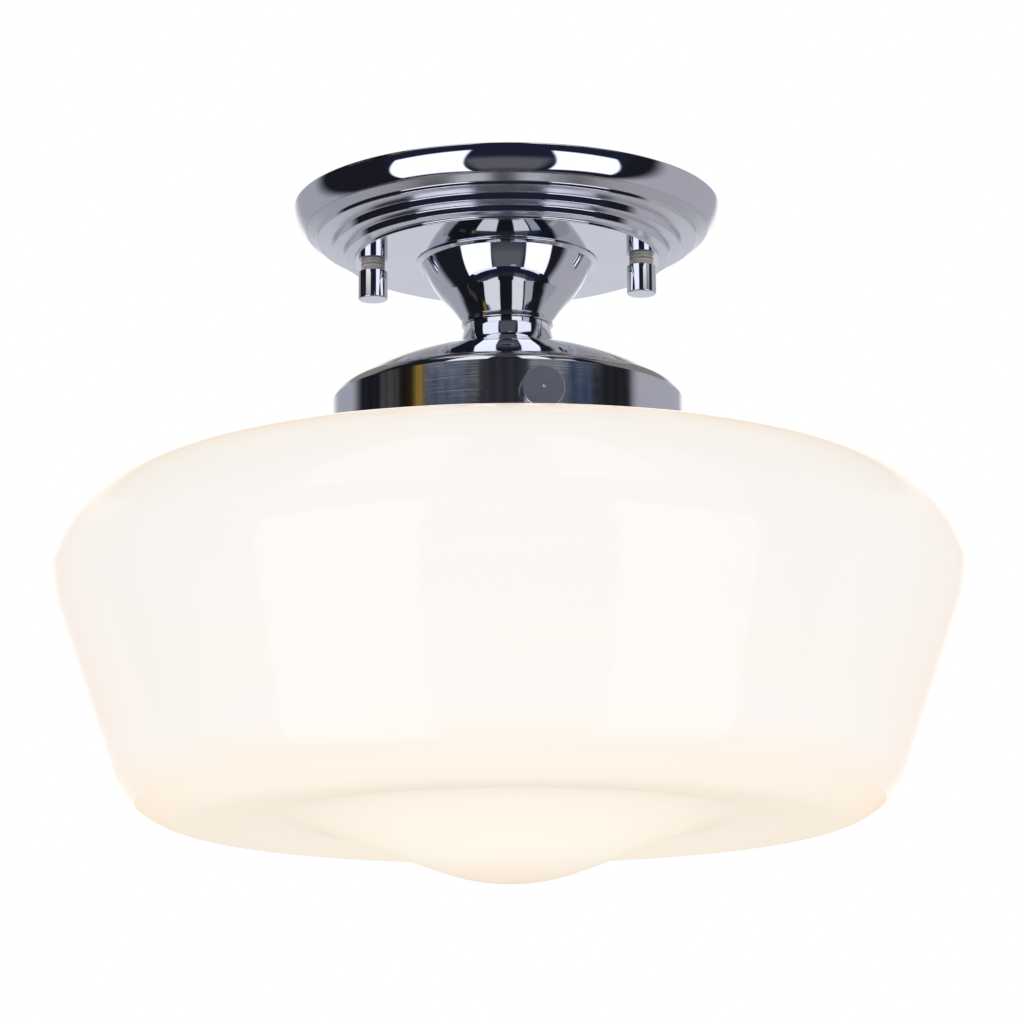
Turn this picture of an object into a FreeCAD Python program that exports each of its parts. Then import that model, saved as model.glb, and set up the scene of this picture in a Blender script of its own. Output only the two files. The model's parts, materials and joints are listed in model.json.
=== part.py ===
"""Semi flush ceiling light: stepped canopy, bell neck, shade holder and a one piece opal glass shade.

The origin is the centre of the ceiling plane. The light hangs below it, so heights are negative, and the two
cap nuts lie on the X axis. Lengths are in millimetres.
"""

import FreeCAD
import Part
import Sketcher

import math
import os
from types import SimpleNamespace

FULL_TURN = 360.0
ORIGIN_INDEX = -1
X_AXIS_INDEX = -1
Y_AXIS_INDEX = -2
CENTRE_INDEX = 3
TINY = 1e-6

# name: (value, what it is)
SIZES = {
    # crossbar that is screwed to the outlet box, and the bar that carries the canopy
    "bar_wide": (16.0, "width of both bars"),
    "bar_thick": (1.5, "thickness of both bars"),
    "bar_long": (104.0, "length of both bars, with round ends"),
    "box_screw_near": (69.9, "least spacing of the outlet box screws"),
    "box_screw_far": (88.9, "largest spacing of the outlet box screws"),
    "box_slot_wide": (5.0, "width of the slots in the box bar"),
    "eyelet_barrel_radius": (6.0, "outside of the hollow rivet that joins the bars"),
    "eyelet_bore_radius": (4.9, "bore of the hollow rivet"),
    "eyelet_flange_radius": (7.6, "flanges of the hollow rivet"),
    "eyelet_flange_thick": (0.6, "thickness of the rivet's flanges"),
    "running_gap": (0.1, "clearance between pieces that turn or slide on each other"),
    "seat_gap": (0.05, "clearance between pieces that are clamped together"),
    # canopy studs and the decorative cap nuts
    "stud_spacing": (88.9, "distance between the two cap nuts"),
    "stud_radius": (2.05, "threaded stud, number 8"),
    "stud_end_depth": (28.0, "lower end of the studs below the ceiling"),
    "stud_hole_gap": (0.5, "clearance of the canopy's holes round the studs"),
    "thread_gap": (0.07, "radial clearance in a threaded joint"),
    "stud_nut_flats": (8.7, "stud lock nut across its flats"),
    "stud_nut_high": (3.2, "stud lock nut height"),
    "cap_nut_radius": (4.85, "barrel of the cap nut"),
    "cap_nut_high": (9.4, "height of the cap nut's barrel"),
    "cap_nut_edge": (0.45, "rounding of the cap nut's lower edge"),
    "cap_nut_crown": (1.4, "solid end of the cap nut below its thread"),
    "collar_radius": (3.95, "outside of the grooved collar washer above each cap nut"),
    "collar_high": (2.15, "height of the collar washer"),
    "collar_groove": (0.35, "depth of the groove round the collar washer"),
    "collar_groove_high": (0.5, "height of that groove at its mouth"),
    # canopy
    "canopy_radius": (70.4, "outside of the canopy at the ceiling"),
    "canopy_wall": (0.9, "sheet thickness of the canopy"),
    "canopy_rim_high": (0.8, "straight edge of the canopy at the ceiling"),
    "canopy_band_wide": (4.2, "how far the smooth outer band draws in"),
    "canopy_band_foot": (8.5, "foot of that band below the ceiling"),
    "canopy_band_bow": (0.75, "how far the outer band bows out over its chord"),
    "tread_one_wide": (3.2, "sloping tread between the band and the first step"),
    "tread_one_fall": (1.75, "fall of that tread towards the middle"),
    "step_one_high": (1.1, "height of the first step"),
    "tread_two_wide": (5.1, "tread inside the first step"),
    "tread_two_fall": (0.85, "fall of that tread"),
    "step_two_high": (2.4, "height of the second step"),
    "tread_three_wide": (3.8, "tread inside the second step"),
    "tread_three_fall": (0.6, "fall of that tread"),
    "step_three_high": (2.1, "height of the third step"),
    "tread_four_wide": (3.7, "tread inside the third step"),
    "tread_four_fall": (0.45, "fall of that tread"),
    "step_four_high": (0.85, "height of the last step, down to the flat face"),
    "stem_hole_gap": (0.25, "clearance of the holes round the stem"),
    # neck cup between canopy and shade holder
    "cup_rim_radius": (30.0, "rolled rim of the neck cup against the canopy"),
    "cup_lip_high": (1.1, "height of that rim"),
    "cup_lip_wide": (2.3, "how far the flank starts inside the rim"),
    "cup_lip_fall": (0.8, "fall from the rim to the top of the flank"),
    "cup_mid_radius": (21.5, "end of the cup's long flank"),
    "cup_mid_drop": (12.0, "end of the long flank below the canopy's face"),
    "cup_low_radius": (15.1, "lower end of the cup's bell"),
    "cup_low_fall": (8.2, "height of the bell's lower part"),
    "cup_foot_high": (1.7, "straight foot of the neck cup"),
    "cup_low_bow": (0.45, "how far the bell's lower part bows out"),
    "cup_wall": (0.9, "sheet thickness of the neck cup"),
    # shade holder
    "holder_top_radius": (14.4, "top of the shade holder's neck"),
    "holder_neck_flare": (2.5, "how far that neck widens towards its foot"),
    "holder_neck_high": (8.1, "height of the shade holder's neck"),
    "holder_neck_bow": (0.5, "hollow of that neck"),
    "dome_ledge_wide": (2.5, "small ledge between the neck and the dome"),
    "dome_ledge_fall": (0.8, "fall of that ledge"),
    "dome_high": (13.4, "height of the dome"),
    "dome_bow": (2.0, "how far the dome bows out over its chord"),
    "band_corner_wide": (3.2, "width of the rounded corner between dome and band"),
    "band_corner_high": (3.5, "height of that corner"),
    "band_corner_bow": (0.45, "rounding of that corner"),
    "band_high": (20.1, "height of the straight band"),
    "fitter_gap": (5.4, "inside of the band from the glass neck"),
    "holder_wall": (1.2, "sheet thickness of the shade holder"),
    # thumbscrews
    "screw_count": (3, "thumbscrews round the band"),
    "screw_azimuth": (13.0, "first thumbscrew, in degrees from -Y towards +X"),
    "screw_below_corner": (10.6, "thumbscrew axis below the top of the band"),
    "screw_radius": (2.05, "thumbscrew thread, number 8"),
    "screw_head_radius": (6.8, "thumbscrew head"),
    "screw_head_thick": (4.8, "thickness of the thumbscrew head"),
    "screw_head_edge": (0.4, "bevel of the thumbscrew head"),
    "screw_head_gap": (2.2, "head's back from the band when the screw is tight"),
    "screw_tip_radius": (1.9, "soft tip of the thumbscrew"),
    "screw_tip_long": (1.6, "length of that tip"),
    "screw_glass_gap": (0.3, "tip from the glass neck when the screw is tight"),
    "screw_dimple": (0.5, "radius of the turning centre in the head"),
    "boss_radius": (4.5, "threaded boss inside the band"),
    "boss_long": (3.4, "length of that boss"),
    # stem and its nuts
    "stem_radius": (5.0, "threaded hollow stem"),
    "stem_bore": (3.7, "bore of the stem"),
    "stem_top_rise": (6.6, "top of the stem above the canopy's flat face"),
    "stem_nut_flats": (14.3, "stem lock nuts across their flats"),
    "stem_nut_high": (4.0, "height of the stem lock nuts"),
    "stem_washer_radius": (9.0, "toothed washers under the stem nuts"),
    "stem_washer_thick": (0.8, "thickness of those washers"),
    "bushing_lip": (0.8, "flange of the plastic bushing in the stem's top"),
    "bushing_long": (3.0, "length of that bushing inside the stem"),
    "bushing_wall": (0.5, "wall of that bushing"),
    # lampholder
    "socket_gap": (1.2, "top of the lampholder below the lower lock nut"),
    "socket_boss_radius": (8.6, "threaded boss on the lampholder's cap"),
    "socket_boss_high": (7.2, "height of that boss"),
    "socket_radius": (19.5, "outside of the lampholder"),
    "socket_cap_high": (18.0, "height of the lampholder's cap"),
    "socket_cap_wall": (1.6, "wall of the lampholder's cap"),
    "socket_cap_edge": (3.2, "rounding of the lampholder cap's shoulder"),
    "socket_body_high": (34.0, "height of the porcelain body"),
    "socket_bore": (14.7, "bore of the porcelain body"),
    "socket_floor": (6.0, "floor of the porcelain body"),
    "shell_radius": (13.4, "inside of the screw shell"),
    "shell_wall": (0.4, "sheet thickness of the screw shell"),
    "shell_long": (24.0, "length of the screw shell"),
    "shell_rib": (0.45, "height of the rolled thread"),
    "tongue_wide": (5.0, "width of the centre contact"),
    "tongue_thick": (0.5, "thickness of the centre contact"),
    "tongue_end": (7.5, "fixed end of the centre contact from the axis"),
    "tongue_bend": (2.5, "bends of the centre contact from the axis"),
    "tongue_fall": (2.5, "how far the centre contact springs down"),
    "terminal_offset": (11.5, "terminal screws from the lampholder's axis"),
    "terminal_head_radius": (3.4, "head of a terminal screw"),
    "terminal_head_high": (1.8, "height of a terminal screw's head"),
    "terminal_shank_radius": (1.7, "shank of a terminal screw"),
    "terminal_shank_long": (4.5, "length of that shank"),
    # bulb
    "bulb_radius": (30.0, "widest part of the bulb"),
    "bulb_long": (108.0, "overall length of the bulb"),
    "bulb_base_radius": (13.2, "outside of the bulb's screw base"),
    "bulb_base_long": (21.5, "length of the bulb's screw base"),
    "bulb_rib": (0.5, "depth of the rolled thread"),
    "bulb_pitch": (3.63, "pitch of the medium screw thread"),
    "bulb_insulator_high": (3.2, "glass insulator on top of the base"),
    "bulb_throat_radius": (9.5, "opening in the top of the screw base"),
    "bulb_contact_radius": (4.7, "contact button of the bulb"),
    "bulb_contact_high": (1.3, "height of that button"),
    "bulb_neck_radius": (14.2, "neck of the bulb under its base"),
    "bulb_neck_long": (11.0, "nearly straight neck of the bulb"),
    "bulb_neck_foot_radius": (16.2, "lower end of that neck"),
    "bulb_stub_radius": (11.4, "glass stub inside the screw base"),
    "bulb_stub_long": (7.0, "length of that stub"),
    "bulb_base_wall": (0.35, "sheet thickness of the screw base"),
    "bulb_wall": (0.8, "glass of the bulb"),
    "bulb_seat_gap": (0.3, "bulb's contact from the lampholder's tongue"),
    # glass shade
    "glass_wall": (3.5, "thickness of the opal glass"),
    "glass_neck_radius": (50.8, "outside of the glass neck"),
    "glass_top_fall": (2.8, "top of the glass neck below the top of the holder's band"),
    "shoulder_gap": (1.9, "start of the shoulder below the holder's band"),
    "shoulder_root_wide": (6.2, "width of the hollow between neck and shoulder"),
    "shoulder_root_high": (4.6, "height of that hollow"),
    "shoulder_root_bow": (1.6, "roundness of that hollow"),
    "shoulder_end_radius": (118.0, "where the shoulder starts to turn down"),
    "shoulder_fall": (7.9, "fall of the shoulder to that point"),
    "shoulder_bow": (1.7, "crown of the shoulder"),
    "glass_radius": (147.5, "widest part of the glass"),
    "glass_turn_fall": (28.3, "height of the turn from the shoulder to the widest part"),
    "glass_turn_bow": (6.9, "roundness of that turn"),
    "side_top_radius": (143.6, "top of the straight tapered side"),
    "side_turn_fall": (17.0, "height between the widest part and the straight side"),
    "side_turn_bow": (0.75, "roundness between widest part and side"),
    "side_foot_radius": (127.2, "foot of the tapered side"),
    "side_high": (46.5, "height of the tapered side"),
    "underside_radius": (103.0, "lowest ring of the underside"),
    "foot_turn_fall": (17.6, "height of the turn from the side to that ring"),
    "foot_turn_bow": (4.7, "roundness of that turn"),
    "recess_radius": (79.0, "highest ring of the hollow round the dome"),
    "recess_rise": (1.8, "height of the hollow over the lowest ring"),
    "recess_bow": (0.45, "curve from the lowest ring into the hollow"),
    "nipple_root_radius": (63.0, "where the flank of the lower dome starts"),
    "nipple_root_fall": (1.3, "start of the flank below the hollow"),
    "nipple_root_bow": (1.05, "hollow at the root of the lower dome"),
    "nipple_tip_radius": (22.5, "where the flank turns into the rounded tip"),
    "nipple_flank_high": (14.8, "height of the flank"),
    "nipple_tip_high": (4.0, "height of the rounded tip"),
    # wiring inside
    "lead_radius": (1.05, "insulated lead"),
    "lead_bend": (3.6, "bend of a lead"),
    "lead_offset": (1.5, "leads beside the stem's axis"),
    "lead_level": (8.6, "leads and wire connectors in the canopy, below the ceiling"),
    "ground_radius": (0.65, "bare ground wire"),
    "connector_radius": (5.6, "mouth of a twist-on wire connector"),
    "connector_tip_radius": (3.9, "closed end of a wire connector"),
    "connector_long": (19.0, "length of a wire connector"),
    "connector_start": (21.0, "mouth of the wire connectors from the fixture bar's axis"),
    "connector_socket": (11.0, "depth of a wire connector's mouth"),
    "connector_bore_gap": (0.2, "clearance of a lead in its connector"),
    "wire_in_connector": (9.0, "length of wire inside a connector"),
    "ground_screw_offset": (24.0, "ground screw from the middle of the fixture bar"),
    "ground_screw_head": (4.2, "radius of the ground screw's head"),
    "ground_screw_head_high": (1.8, "height of that head"),
}


class Size:
    """A length that knows its value and the formula of spreadsheet cells that gives it."""

    def __init__(self, value, formula):
        self.value = float(value)
        self.formula = formula

    def joined(self, sign, other, value):
        return Size(value, f"({self.formula} {sign} {as_size(other).formula})")

    def __add__(self, other):
        return self.joined("+", other, self.value + as_size(other).value)

    def __sub__(self, other):
        return self.joined("-", other, self.value - as_size(other).value)

    def __mul__(self, other):
        return self.joined("*", other, self.value * as_size(other).value)

    def __truediv__(self, other):
        return self.joined("/", other, self.value / as_size(other).value)

    def __radd__(self, other):
        return as_size(other) + self

    def __rsub__(self, other):
        return as_size(other) - self

    def __rmul__(self, other):
        return as_size(other) * self

    def __neg__(self):
        return as_size(-1) * self


def as_size(number):
    return number if isinstance(number, Size) else Size(number, f"{float(number):.6f}")


doc = FreeCAD.newDocument("semi_flush_light")


def make_sheet():
    """Writes the driving dimensions into the spreadsheet and returns them by name."""
    sheet = doc.addObject("Spreadsheet::Sheet", "Sizes")
    named = {}
    for row, (name, (value, note)) in enumerate(SIZES.items(), start=1):
        sheet.set(f"A{row}", name)
        sheet.set(f"B{row}", str(value))
        sheet.set(f"C{row}", note)
        sheet.setAlias(f"B{row}", name)
        named[name] = Size(value, f"Sizes.{name}")
    doc.recompute()
    return SimpleNamespace(**named)


S = make_sheet()
SUBPARTS = []


# ---------------------------------------------------------------- drawing

def bind(thing, field, length):
    """Ties one property of an object to the spreadsheet."""
    thing.setExpression(field, as_size(length).formula)


def place(thing, x=0, y=0, z=0, rotation=None):
    """Puts an object at a place that follows the spreadsheet."""
    spot = FreeCAD.Vector(as_size(x).value, as_size(y).value, as_size(z).value)
    thing.Placement = FreeCAD.Placement(spot, rotation or FreeCAD.Rotation())
    for field, length in (("x", x), ("y", y), ("z", z)):
        bind(thing, f"Placement.Base.{field}", length)


def subpart(thing, name):
    """Gives a finished sub-part the label that names its file."""
    thing.Label = name
    SUBPARTS.append(thing)
    return thing


def new_body(name):
    body = doc.addObject("PartDesign::Body", name + "_body")
    return body


def new_sketch(body, name, role):
    """An empty sketch on one of the body's own origin planes."""
    sketch = body.newObject("Sketcher::SketchObject", name)
    plane = [feature for feature in body.Origin.OriginFeatures if feature.Role == role][0]
    sketch.AttachmentSupport = [(plane, "")]
    sketch.MapMode = "FlatFace"
    return sketch


def tie(sketch, kind, references, length):
    """Adds a dimension to a sketch and ties it to the spreadsheet."""
    length = as_size(length)
    index = sketch.addConstraint(Sketcher.Constraint(kind, *references, length.value))
    sketch.setExpression(f"Constraints[{index}]", length.formula)


def vector(corner):
    return FreeCAD.Vector(as_size(corner[0]).value, as_size(corner[1]).value, 0)


def fix_point(sketch, edge, end, across, up):
    """Holds one point of a sketch at a place that follows the spreadsheet."""
    for kind, length, axis in (("DistanceX", across, Y_AXIS_INDEX), ("DistanceY", up, X_AXIS_INDEX)):
        if abs(as_size(length).value) < TINY:
            sketch.addConstraint(Sketcher.Constraint("PointOnObject", edge, end, axis))
        else:
            tie(sketch, kind, (ORIGIN_INDEX, 1, edge, end), length)


def arc_radius(here, there, bulge):
    """Radius of an arc over a chord, from the height of the arc over the chord."""
    across = as_size(there[0]) - here[0]
    up = as_size(there[1]) - here[1]
    chord_squared = across * across + up * up
    radius = chord_squared / (bulge * 8) + bulge / 2
    return Size(abs(radius.value), f"abs({radius.formula})")


def draw(sketch, corners):
    """Closed outline. A corner is (across, up) or (across, up, bulge): the arc that leaves it bows to the
    left of the way to the next corner by the bulge. An arc that ends on the vertical axis has its centre
    there, whatever its bulge, so that it turns into part of a ball."""
    count = len(corners)
    edges = []
    for index, corner in enumerate(corners):
        here = vector(corner)
        there = vector(corners[(index + 1) % count])
        if len(corner) == 2:
            edges.append((sketch.addGeometry(Part.LineSegment(here, there), False), 1, 2))
            continue
        chord = there - here
        left = FreeCAD.Vector(-chord.y, chord.x, 0).normalize()
        middle = (here + there) / 2 + left * as_size(corner[2]).value
        edge = sketch.addGeometry(Part.Arc(here, middle, there), False)
        forward = (sketch.getPoint(edge, 1) - here).Length < TINY
        edges.append((edge, 1, 2) if forward else (edge, 2, 1))
    for index, (edge, start, end) in enumerate(edges):
        following, next_start, next_end = edges[(index + 1) % count]
        corner = corners[index]
        sketch.addConstraint(Sketcher.Constraint("Coincident", edge, end, following, next_start))
        fix_point(sketch, edge, start, corner[0], corner[1])
        if len(corner) == 2:
            continue
        next_corner = corners[(index + 1) % count]
        if TINY > min(abs(vector(corner).x), abs(vector(next_corner).x)):
            sketch.addConstraint(Sketcher.Constraint("PointOnObject", edge, CENTRE_INDEX, Y_AXIS_INDEX))
        else:
            tie(sketch, "Radius", (edge,), arc_radius(corner, next_corner, as_size(corner[2])))


def draw_circle(sketch, across, up, radius):
    centre = vector((across, up))
    circle = Part.Circle(centre, FreeCAD.Vector(0, 0, 1), as_size(radius).value)
    edge = sketch.addGeometry(circle, False)
    fix_point(sketch, edge, CENTRE_INDEX, across, up)
    tie(sketch, "Radius", (edge,), radius)


def ball_bulge(radius, high):
    """How far the arc of a ball's cap bows out over its chord, from the cap's edge to its tip."""
    chord_squared = radius.value ** 2 + high.value ** 2
    ball_radius = chord_squared / (high.value * 2)
    return ball_radius - math.sqrt(ball_radius ** 2 - chord_squared / 4)


def headings(here, there, bulge):
    """Directions in which a line or an arc leaves one corner and reaches the next."""
    chord = vector(there) - vector(here)
    middle = math.atan2(chord.y, chord.x)
    half_turn = 2 * math.atan2(2 * bulge, chord.Length)
    return middle + half_turn, middle - half_turn


def shell(outer, wall):
    """Closed outline of a sheet: the outer line, and back along a parallel line on its right."""
    spans = list(zip(outer, outer[1:]))
    bulges = [as_size(here[2]).value if len(here) == 3 else 0.0 for here, there in spans]
    ways = [headings(here, there, bulge) for (here, there), bulge in zip(spans, bulges)]
    inner = []
    for index, corner in enumerate(outer):
        arriving = ways[index - 1][1] if index else ways[0][0]
        leaving = ways[index][0] if index < len(ways) else ways[-1][1]
        half = math.remainder(leaving - arriving, 2 * math.pi) / 2
        normal = arriving + half - math.pi / 2
        if abs(as_size(corner[0]).value) < TINY:
            inner.append((0, corner[1] + wall * math.copysign(1, math.sin(normal))))
            continue
        mitre = wall / math.cos(half)
        inner.append((corner[0] + mitre * math.cos(normal), corner[1] + mitre * math.sin(normal)))
    back = []
    for index in reversed(range(len(inner))):
        point = inner[index]
        if index and bulges[index - 1]:
            here, there = spans[index - 1]
            outer_chord = (vector(there) - vector(here)).Length
            inner_chord = (vector(inner[index]) - vector(inner[index - 1])).Length
            point = (*point, as_size(here[2]) * (-inner_chord / outer_chord))
        back.append(point)
    return list(outer[:-1]) + [outer[-1][:2]] + back


# ---------------------------------------------------------------- ways of making a piece

def turned(name, outline):
    """Body of revolution about its Z axis; the outline is in its XZ plane."""
    body = new_body(name)
    sketch = new_sketch(body, name + "_outline", "XZ_Plane")
    draw(sketch, outline)
    turn = body.newObject("PartDesign::Revolution", name + "_turn")
    turn.Profile = sketch
    turn.ReferenceAxis = (sketch, ["V_Axis"])
    turn.Angle = FULL_TURN
    doc.recompute()
    return body


def padded(name, outlines, circles, thick):
    """Flat plate whose upper face is its XY plane, with closed outlines and round holes."""
    body = new_body(name)
    sketch = new_sketch(body, name + "_outline", "XY_Plane")
    for outline in outlines:
        draw(sketch, outline)
    for circle in circles:
        draw_circle(sketch, *circle)
    pad = body.newObject("PartDesign::Pad", name + "_pad")
    pad.Profile = sketch
    bind(pad, "Length", thick)
    pad.Reversed = True
    doc.recompute()
    return body


def drilled(body, name, circles, role="XY_Plane", depth=None, other_way=False):
    """Holes from one of the body's origin planes; the volume has to shrink."""
    before = body.Shape.Volume
    sketch = new_sketch(body, name, role)
    for circle in circles:
        draw_circle(sketch, *circle)
    pocket = body.newObject("PartDesign::Pocket", name + "_pocket")
    pocket.Profile = sketch
    pocket.Reversed = other_way
    if depth is None:
        pocket.Type = "ThroughAll"
    else:
        bind(pocket, "Length", depth)
    doc.recompute()
    if body.Shape.Volume > before - TINY:
        raise RuntimeError(f"{name} cut nothing")
    return sketch, pocket


def ring(outer, inner, top, bottom):
    """Outline of a plain ring or washer."""
    return [(outer, top), (outer, bottom), (inner, bottom), (inner, top)]


def disc(radius, top, bottom):
    return [(0, top), (radius, top), (radius, bottom), (0, bottom)]


def hex_nut(name, flats, high, bore, top):
    """Hexagonal nut whose upper face is at the given height."""
    prism = doc.addObject("Part::Prism", name + "_hexagon")
    prism.Polygon = 6
    bind(prism, "Circumradius", flats / math.sqrt(3))
    bind(prism, "Height", high)
    hole = doc.addObject("Part::Cylinder", name + "_hole")
    bind(hole, "Radius", bore)
    bind(hole, "Height", high)
    nut = doc.addObject("Part::Cut", name + "_cut")
    nut.Base = prism
    nut.Tool = hole
    place(nut, z=top - high)
    return nut


def group(name, pieces):
    """Separate solids of one kind that share a node."""
    together = doc.addObject("Part::Compound", name + "_group")
    together.Links = pieces
    return subpart(together, name)


QUARTER_BULGE = 1 - math.sqrt(0.5)


def capsule(half_length, half_width):
    """Bar or slot along X with round ends, each of two quarter circles."""
    flat_end = half_length - half_width
    bulge = half_width * -QUARTER_BULGE
    return [
        (-flat_end, -half_width),
        (flat_end, -half_width, bulge),
        (half_length, 0, bulge),
        (flat_end, half_width),
        (-flat_end, half_width, bulge),
        (-half_length, 0, bulge),
    ]


def shifted(outline, across):
    return [(corner[0] + across, *corner[1:]) for corner in outline]


def turned_quarter(outline):
    """The same outline along Y instead of X."""
    return [(-as_size(corner[1]), corner[0], *corner[2:]) for corner in outline]


STUD_SIDES = (("left", -1), ("right", 1))


# ---------------------------------------------------------------- levels that pieces share

fixture_bar_top = -(S.bar_thick + S.running_gap)
fixture_bar_foot = fixture_bar_top - S.bar_thick
CANOPY_STEPS = (
    (S.tread_one_wide, S.tread_one_fall, S.step_one_high),
    (S.tread_two_wide, S.tread_two_fall, S.step_two_high),
    (S.tread_three_wide, S.tread_three_fall, S.step_three_high),
    (S.tread_four_wide, S.tread_four_fall, S.step_four_high),
)
canopy_depth = S.canopy_band_foot
for tread_wide, tread_fall, step_high in CANOPY_STEPS:
    canopy_depth = canopy_depth + tread_fall + step_high
canopy_face = -canopy_depth
plate_top = canopy_face + S.canopy_wall
stem_hole = S.stem_radius + S.stem_hole_gap
stud_reach = S.stud_spacing / 2
cup_top = canopy_face - S.seat_gap
cup_high = S.cup_mid_drop + S.cup_low_fall + S.cup_foot_high
holder_top = cup_top - cup_high - S.seat_gap
dome_top_drop = S.holder_neck_high + S.dome_ledge_fall
dome_foot_drop = dome_top_drop + S.dome_high
band_top_drop = dome_foot_drop + S.band_corner_high
holder_high = band_top_drop + S.band_high
screw_drop = band_top_drop + S.screw_below_corner
screw_level = holder_top - screw_drop
band_inside = S.glass_neck_radius + S.fitter_gap
band_radius = band_inside + S.holder_wall
lower_nut_top = holder_top - S.holder_wall - S.stem_washer_thick - S.seat_gap * 2
socket_top = lower_nut_top - S.stem_nut_high - S.socket_gap
socket_body_top = socket_top - S.socket_cap_high - S.seat_gap
socket_floor_foot = socket_body_top - S.socket_floor
wire_level = -S.lead_level


# ---------------------------------------------------------------- mounting bars

def make_bars():
    """Slotted bar for the outlet box, and the bar under it that carries the canopy's studs."""
    half_long = S.bar_long / 2
    half_wide = S.bar_wide / 2
    slot_middle = (S.box_screw_near + S.box_screw_far) / 4
    slot_half = (S.box_screw_far - S.box_screw_near) / 4 + S.box_slot_wide / 2
    slot = capsule(slot_half, S.box_slot_wide / 2)
    outlines = [capsule(half_long, half_wide), shifted(slot, slot_middle), shifted(slot, -slot_middle)]
    outlines = [turned_quarter(outline) for outline in outlines]
    hole = (0, 0, S.eyelet_barrel_radius + S.running_gap)
    box_bar = padded("box_bar", outlines, [hole], S.bar_thick)
    recess = (0, 0, S.eyelet_flange_radius + S.running_gap)
    drilled(box_bar, "box_bar_recess", [recess], depth=S.eyelet_flange_thick + S.running_gap)
    subpart(box_bar, "box_bar")

    holes = [(stud_reach * side, 0, S.stud_radius + S.thread_gap) for name, side in STUD_SIDES]
    holes.append((0, 0, S.eyelet_barrel_radius + S.seat_gap))
    holes.append((S.ground_screw_offset, 0, S.terminal_shank_radius + S.thread_gap))
    fixture_bar = padded("fixture_bar", [capsule(half_long, half_wide)], holes, S.bar_thick)
    place(fixture_bar, z=fixture_bar_top)
    subpart(fixture_bar, "fixture_bar")


def make_eyelet():
    """Hollow rivet that joins the bars and lets the box bar swivel."""
    lower_flange_top = fixture_bar_foot - S.seat_gap
    lower_flange_foot = lower_flange_top - S.eyelet_flange_thick
    eyelet = turned("swivel_eyelet", [
        (S.eyelet_bore_radius, 0),
        (S.eyelet_flange_radius, 0),
        (S.eyelet_flange_radius, -S.eyelet_flange_thick),
        (S.eyelet_barrel_radius, -S.eyelet_flange_thick),
        (S.eyelet_barrel_radius, lower_flange_top),
        (S.eyelet_flange_radius, lower_flange_top),
        (S.eyelet_flange_radius, lower_flange_foot),
        (S.eyelet_bore_radius, lower_flange_foot),
    ])
    subpart(eyelet, "swivel_eyelet")


def make_studs():
    studs = []
    nuts = []
    for name, side in STUD_SIDES:
        stud = turned(f"stud_{name}", disc(S.stud_radius, fixture_bar_top, -S.stud_end_depth))
        place(stud, x=stud_reach * side)
        studs.append(stud)
        nut_top = fixture_bar_foot - S.seat_gap
        bore = S.stud_radius + S.thread_gap
        nut = hex_nut(f"stud_nut_{name}", S.stud_nut_flats, S.stud_nut_high, bore, nut_top)
        place(nut, x=stud_reach * side, z=nut_top - S.stud_nut_high)
        nuts.append(nut)
    group("canopy_studs", studs)
    group("stud_lock_nuts", nuts)


# ---------------------------------------------------------------- canopy and its cap nuts

def make_canopy():
    """Spun canopy: a smooth convex outer band, four concentric steps and a flat polished face."""
    radius = S.canopy_radius - S.canopy_band_wide
    drop = S.canopy_band_foot
    outer = [
        (S.canopy_radius, 0),
        (S.canopy_radius, -S.canopy_rim_high, S.canopy_band_bow),
        (radius, -drop),
    ]
    for wide, fall, high in CANOPY_STEPS:
        radius = radius - wide
        outer.append((radius, -(drop + fall)))
        drop = drop + fall + high
        outer.append((radius, -drop))
    outer.append((stem_hole, canopy_face))
    canopy = turned("canopy", shell(outer, S.canopy_wall))
    holes = [(stud_reach * side, 0, S.stud_radius + S.stud_hole_gap) for name, side in STUD_SIDES]
    drilled(canopy, "canopy_stud_holes", holes)
    subpart(canopy, "canopy")


def make_cap_nut(name, side):
    """Grooved collar washer and barrel shaped cap nut on one stud."""
    collar_top = canopy_face - S.seat_gap
    collar_foot = collar_top - S.collar_high
    groove_level = collar_top - S.collar_high / 2
    collar_bore = S.stud_radius + S.stud_hole_gap
    collar = turned(f"cap_nut_collar_{name}", [
        (S.collar_radius, collar_top),
        (S.collar_radius, groove_level + S.collar_groove_high / 2),
        (S.collar_radius - S.collar_groove, groove_level),
        (S.collar_radius, groove_level - S.collar_groove_high / 2),
        (S.collar_radius, collar_foot),
        (collar_bore, collar_foot),
        (collar_bore, collar_top),
    ])
    place(collar, x=stud_reach * side)
    subpart(collar, f"cap_nut_collar_{name}")

    nut_top = collar_foot - S.seat_gap
    nut_foot = nut_top - S.cap_nut_high
    thread = S.stud_radius + S.thread_gap
    nut = turned(f"cap_nut_{name}", [
        (thread, nut_top),
        (S.cap_nut_radius, nut_top),
        (S.cap_nut_radius, nut_foot + S.cap_nut_edge, S.cap_nut_edge * QUARTER_BULGE),
        (S.cap_nut_radius - S.cap_nut_edge, nut_foot),
        (0, nut_foot),
        (0, nut_foot + S.cap_nut_crown),
        (thread, nut_foot + S.cap_nut_crown),
    ])
    place(nut, x=stud_reach * side)
    subpart(nut, f"cap_nut_{name}")


# ---------------------------------------------------------------- neck cup and shade holder

def make_neck_cup():
    """Bell shaped cup with a rolled rim, between the canopy and the shade holder."""
    flank_top = S.cup_lip_high + S.cup_lip_fall
    low_drop = S.cup_mid_drop + S.cup_low_fall
    outer = [
        (S.cup_rim_radius, 0),
        (S.cup_rim_radius, -S.cup_lip_high),
        (S.cup_rim_radius - S.cup_lip_wide, -flank_top),
        (S.cup_mid_radius, -S.cup_mid_drop, S.cup_low_bow),
        (S.cup_low_radius, -low_drop),
        (S.cup_low_radius, -cup_high),
        (stem_hole, -cup_high),
    ]
    cup = turned("neck_cup", shell(outer, S.cup_wall))
    place(cup, z=cup_top)
    subpart(cup, "neck_cup")


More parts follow.
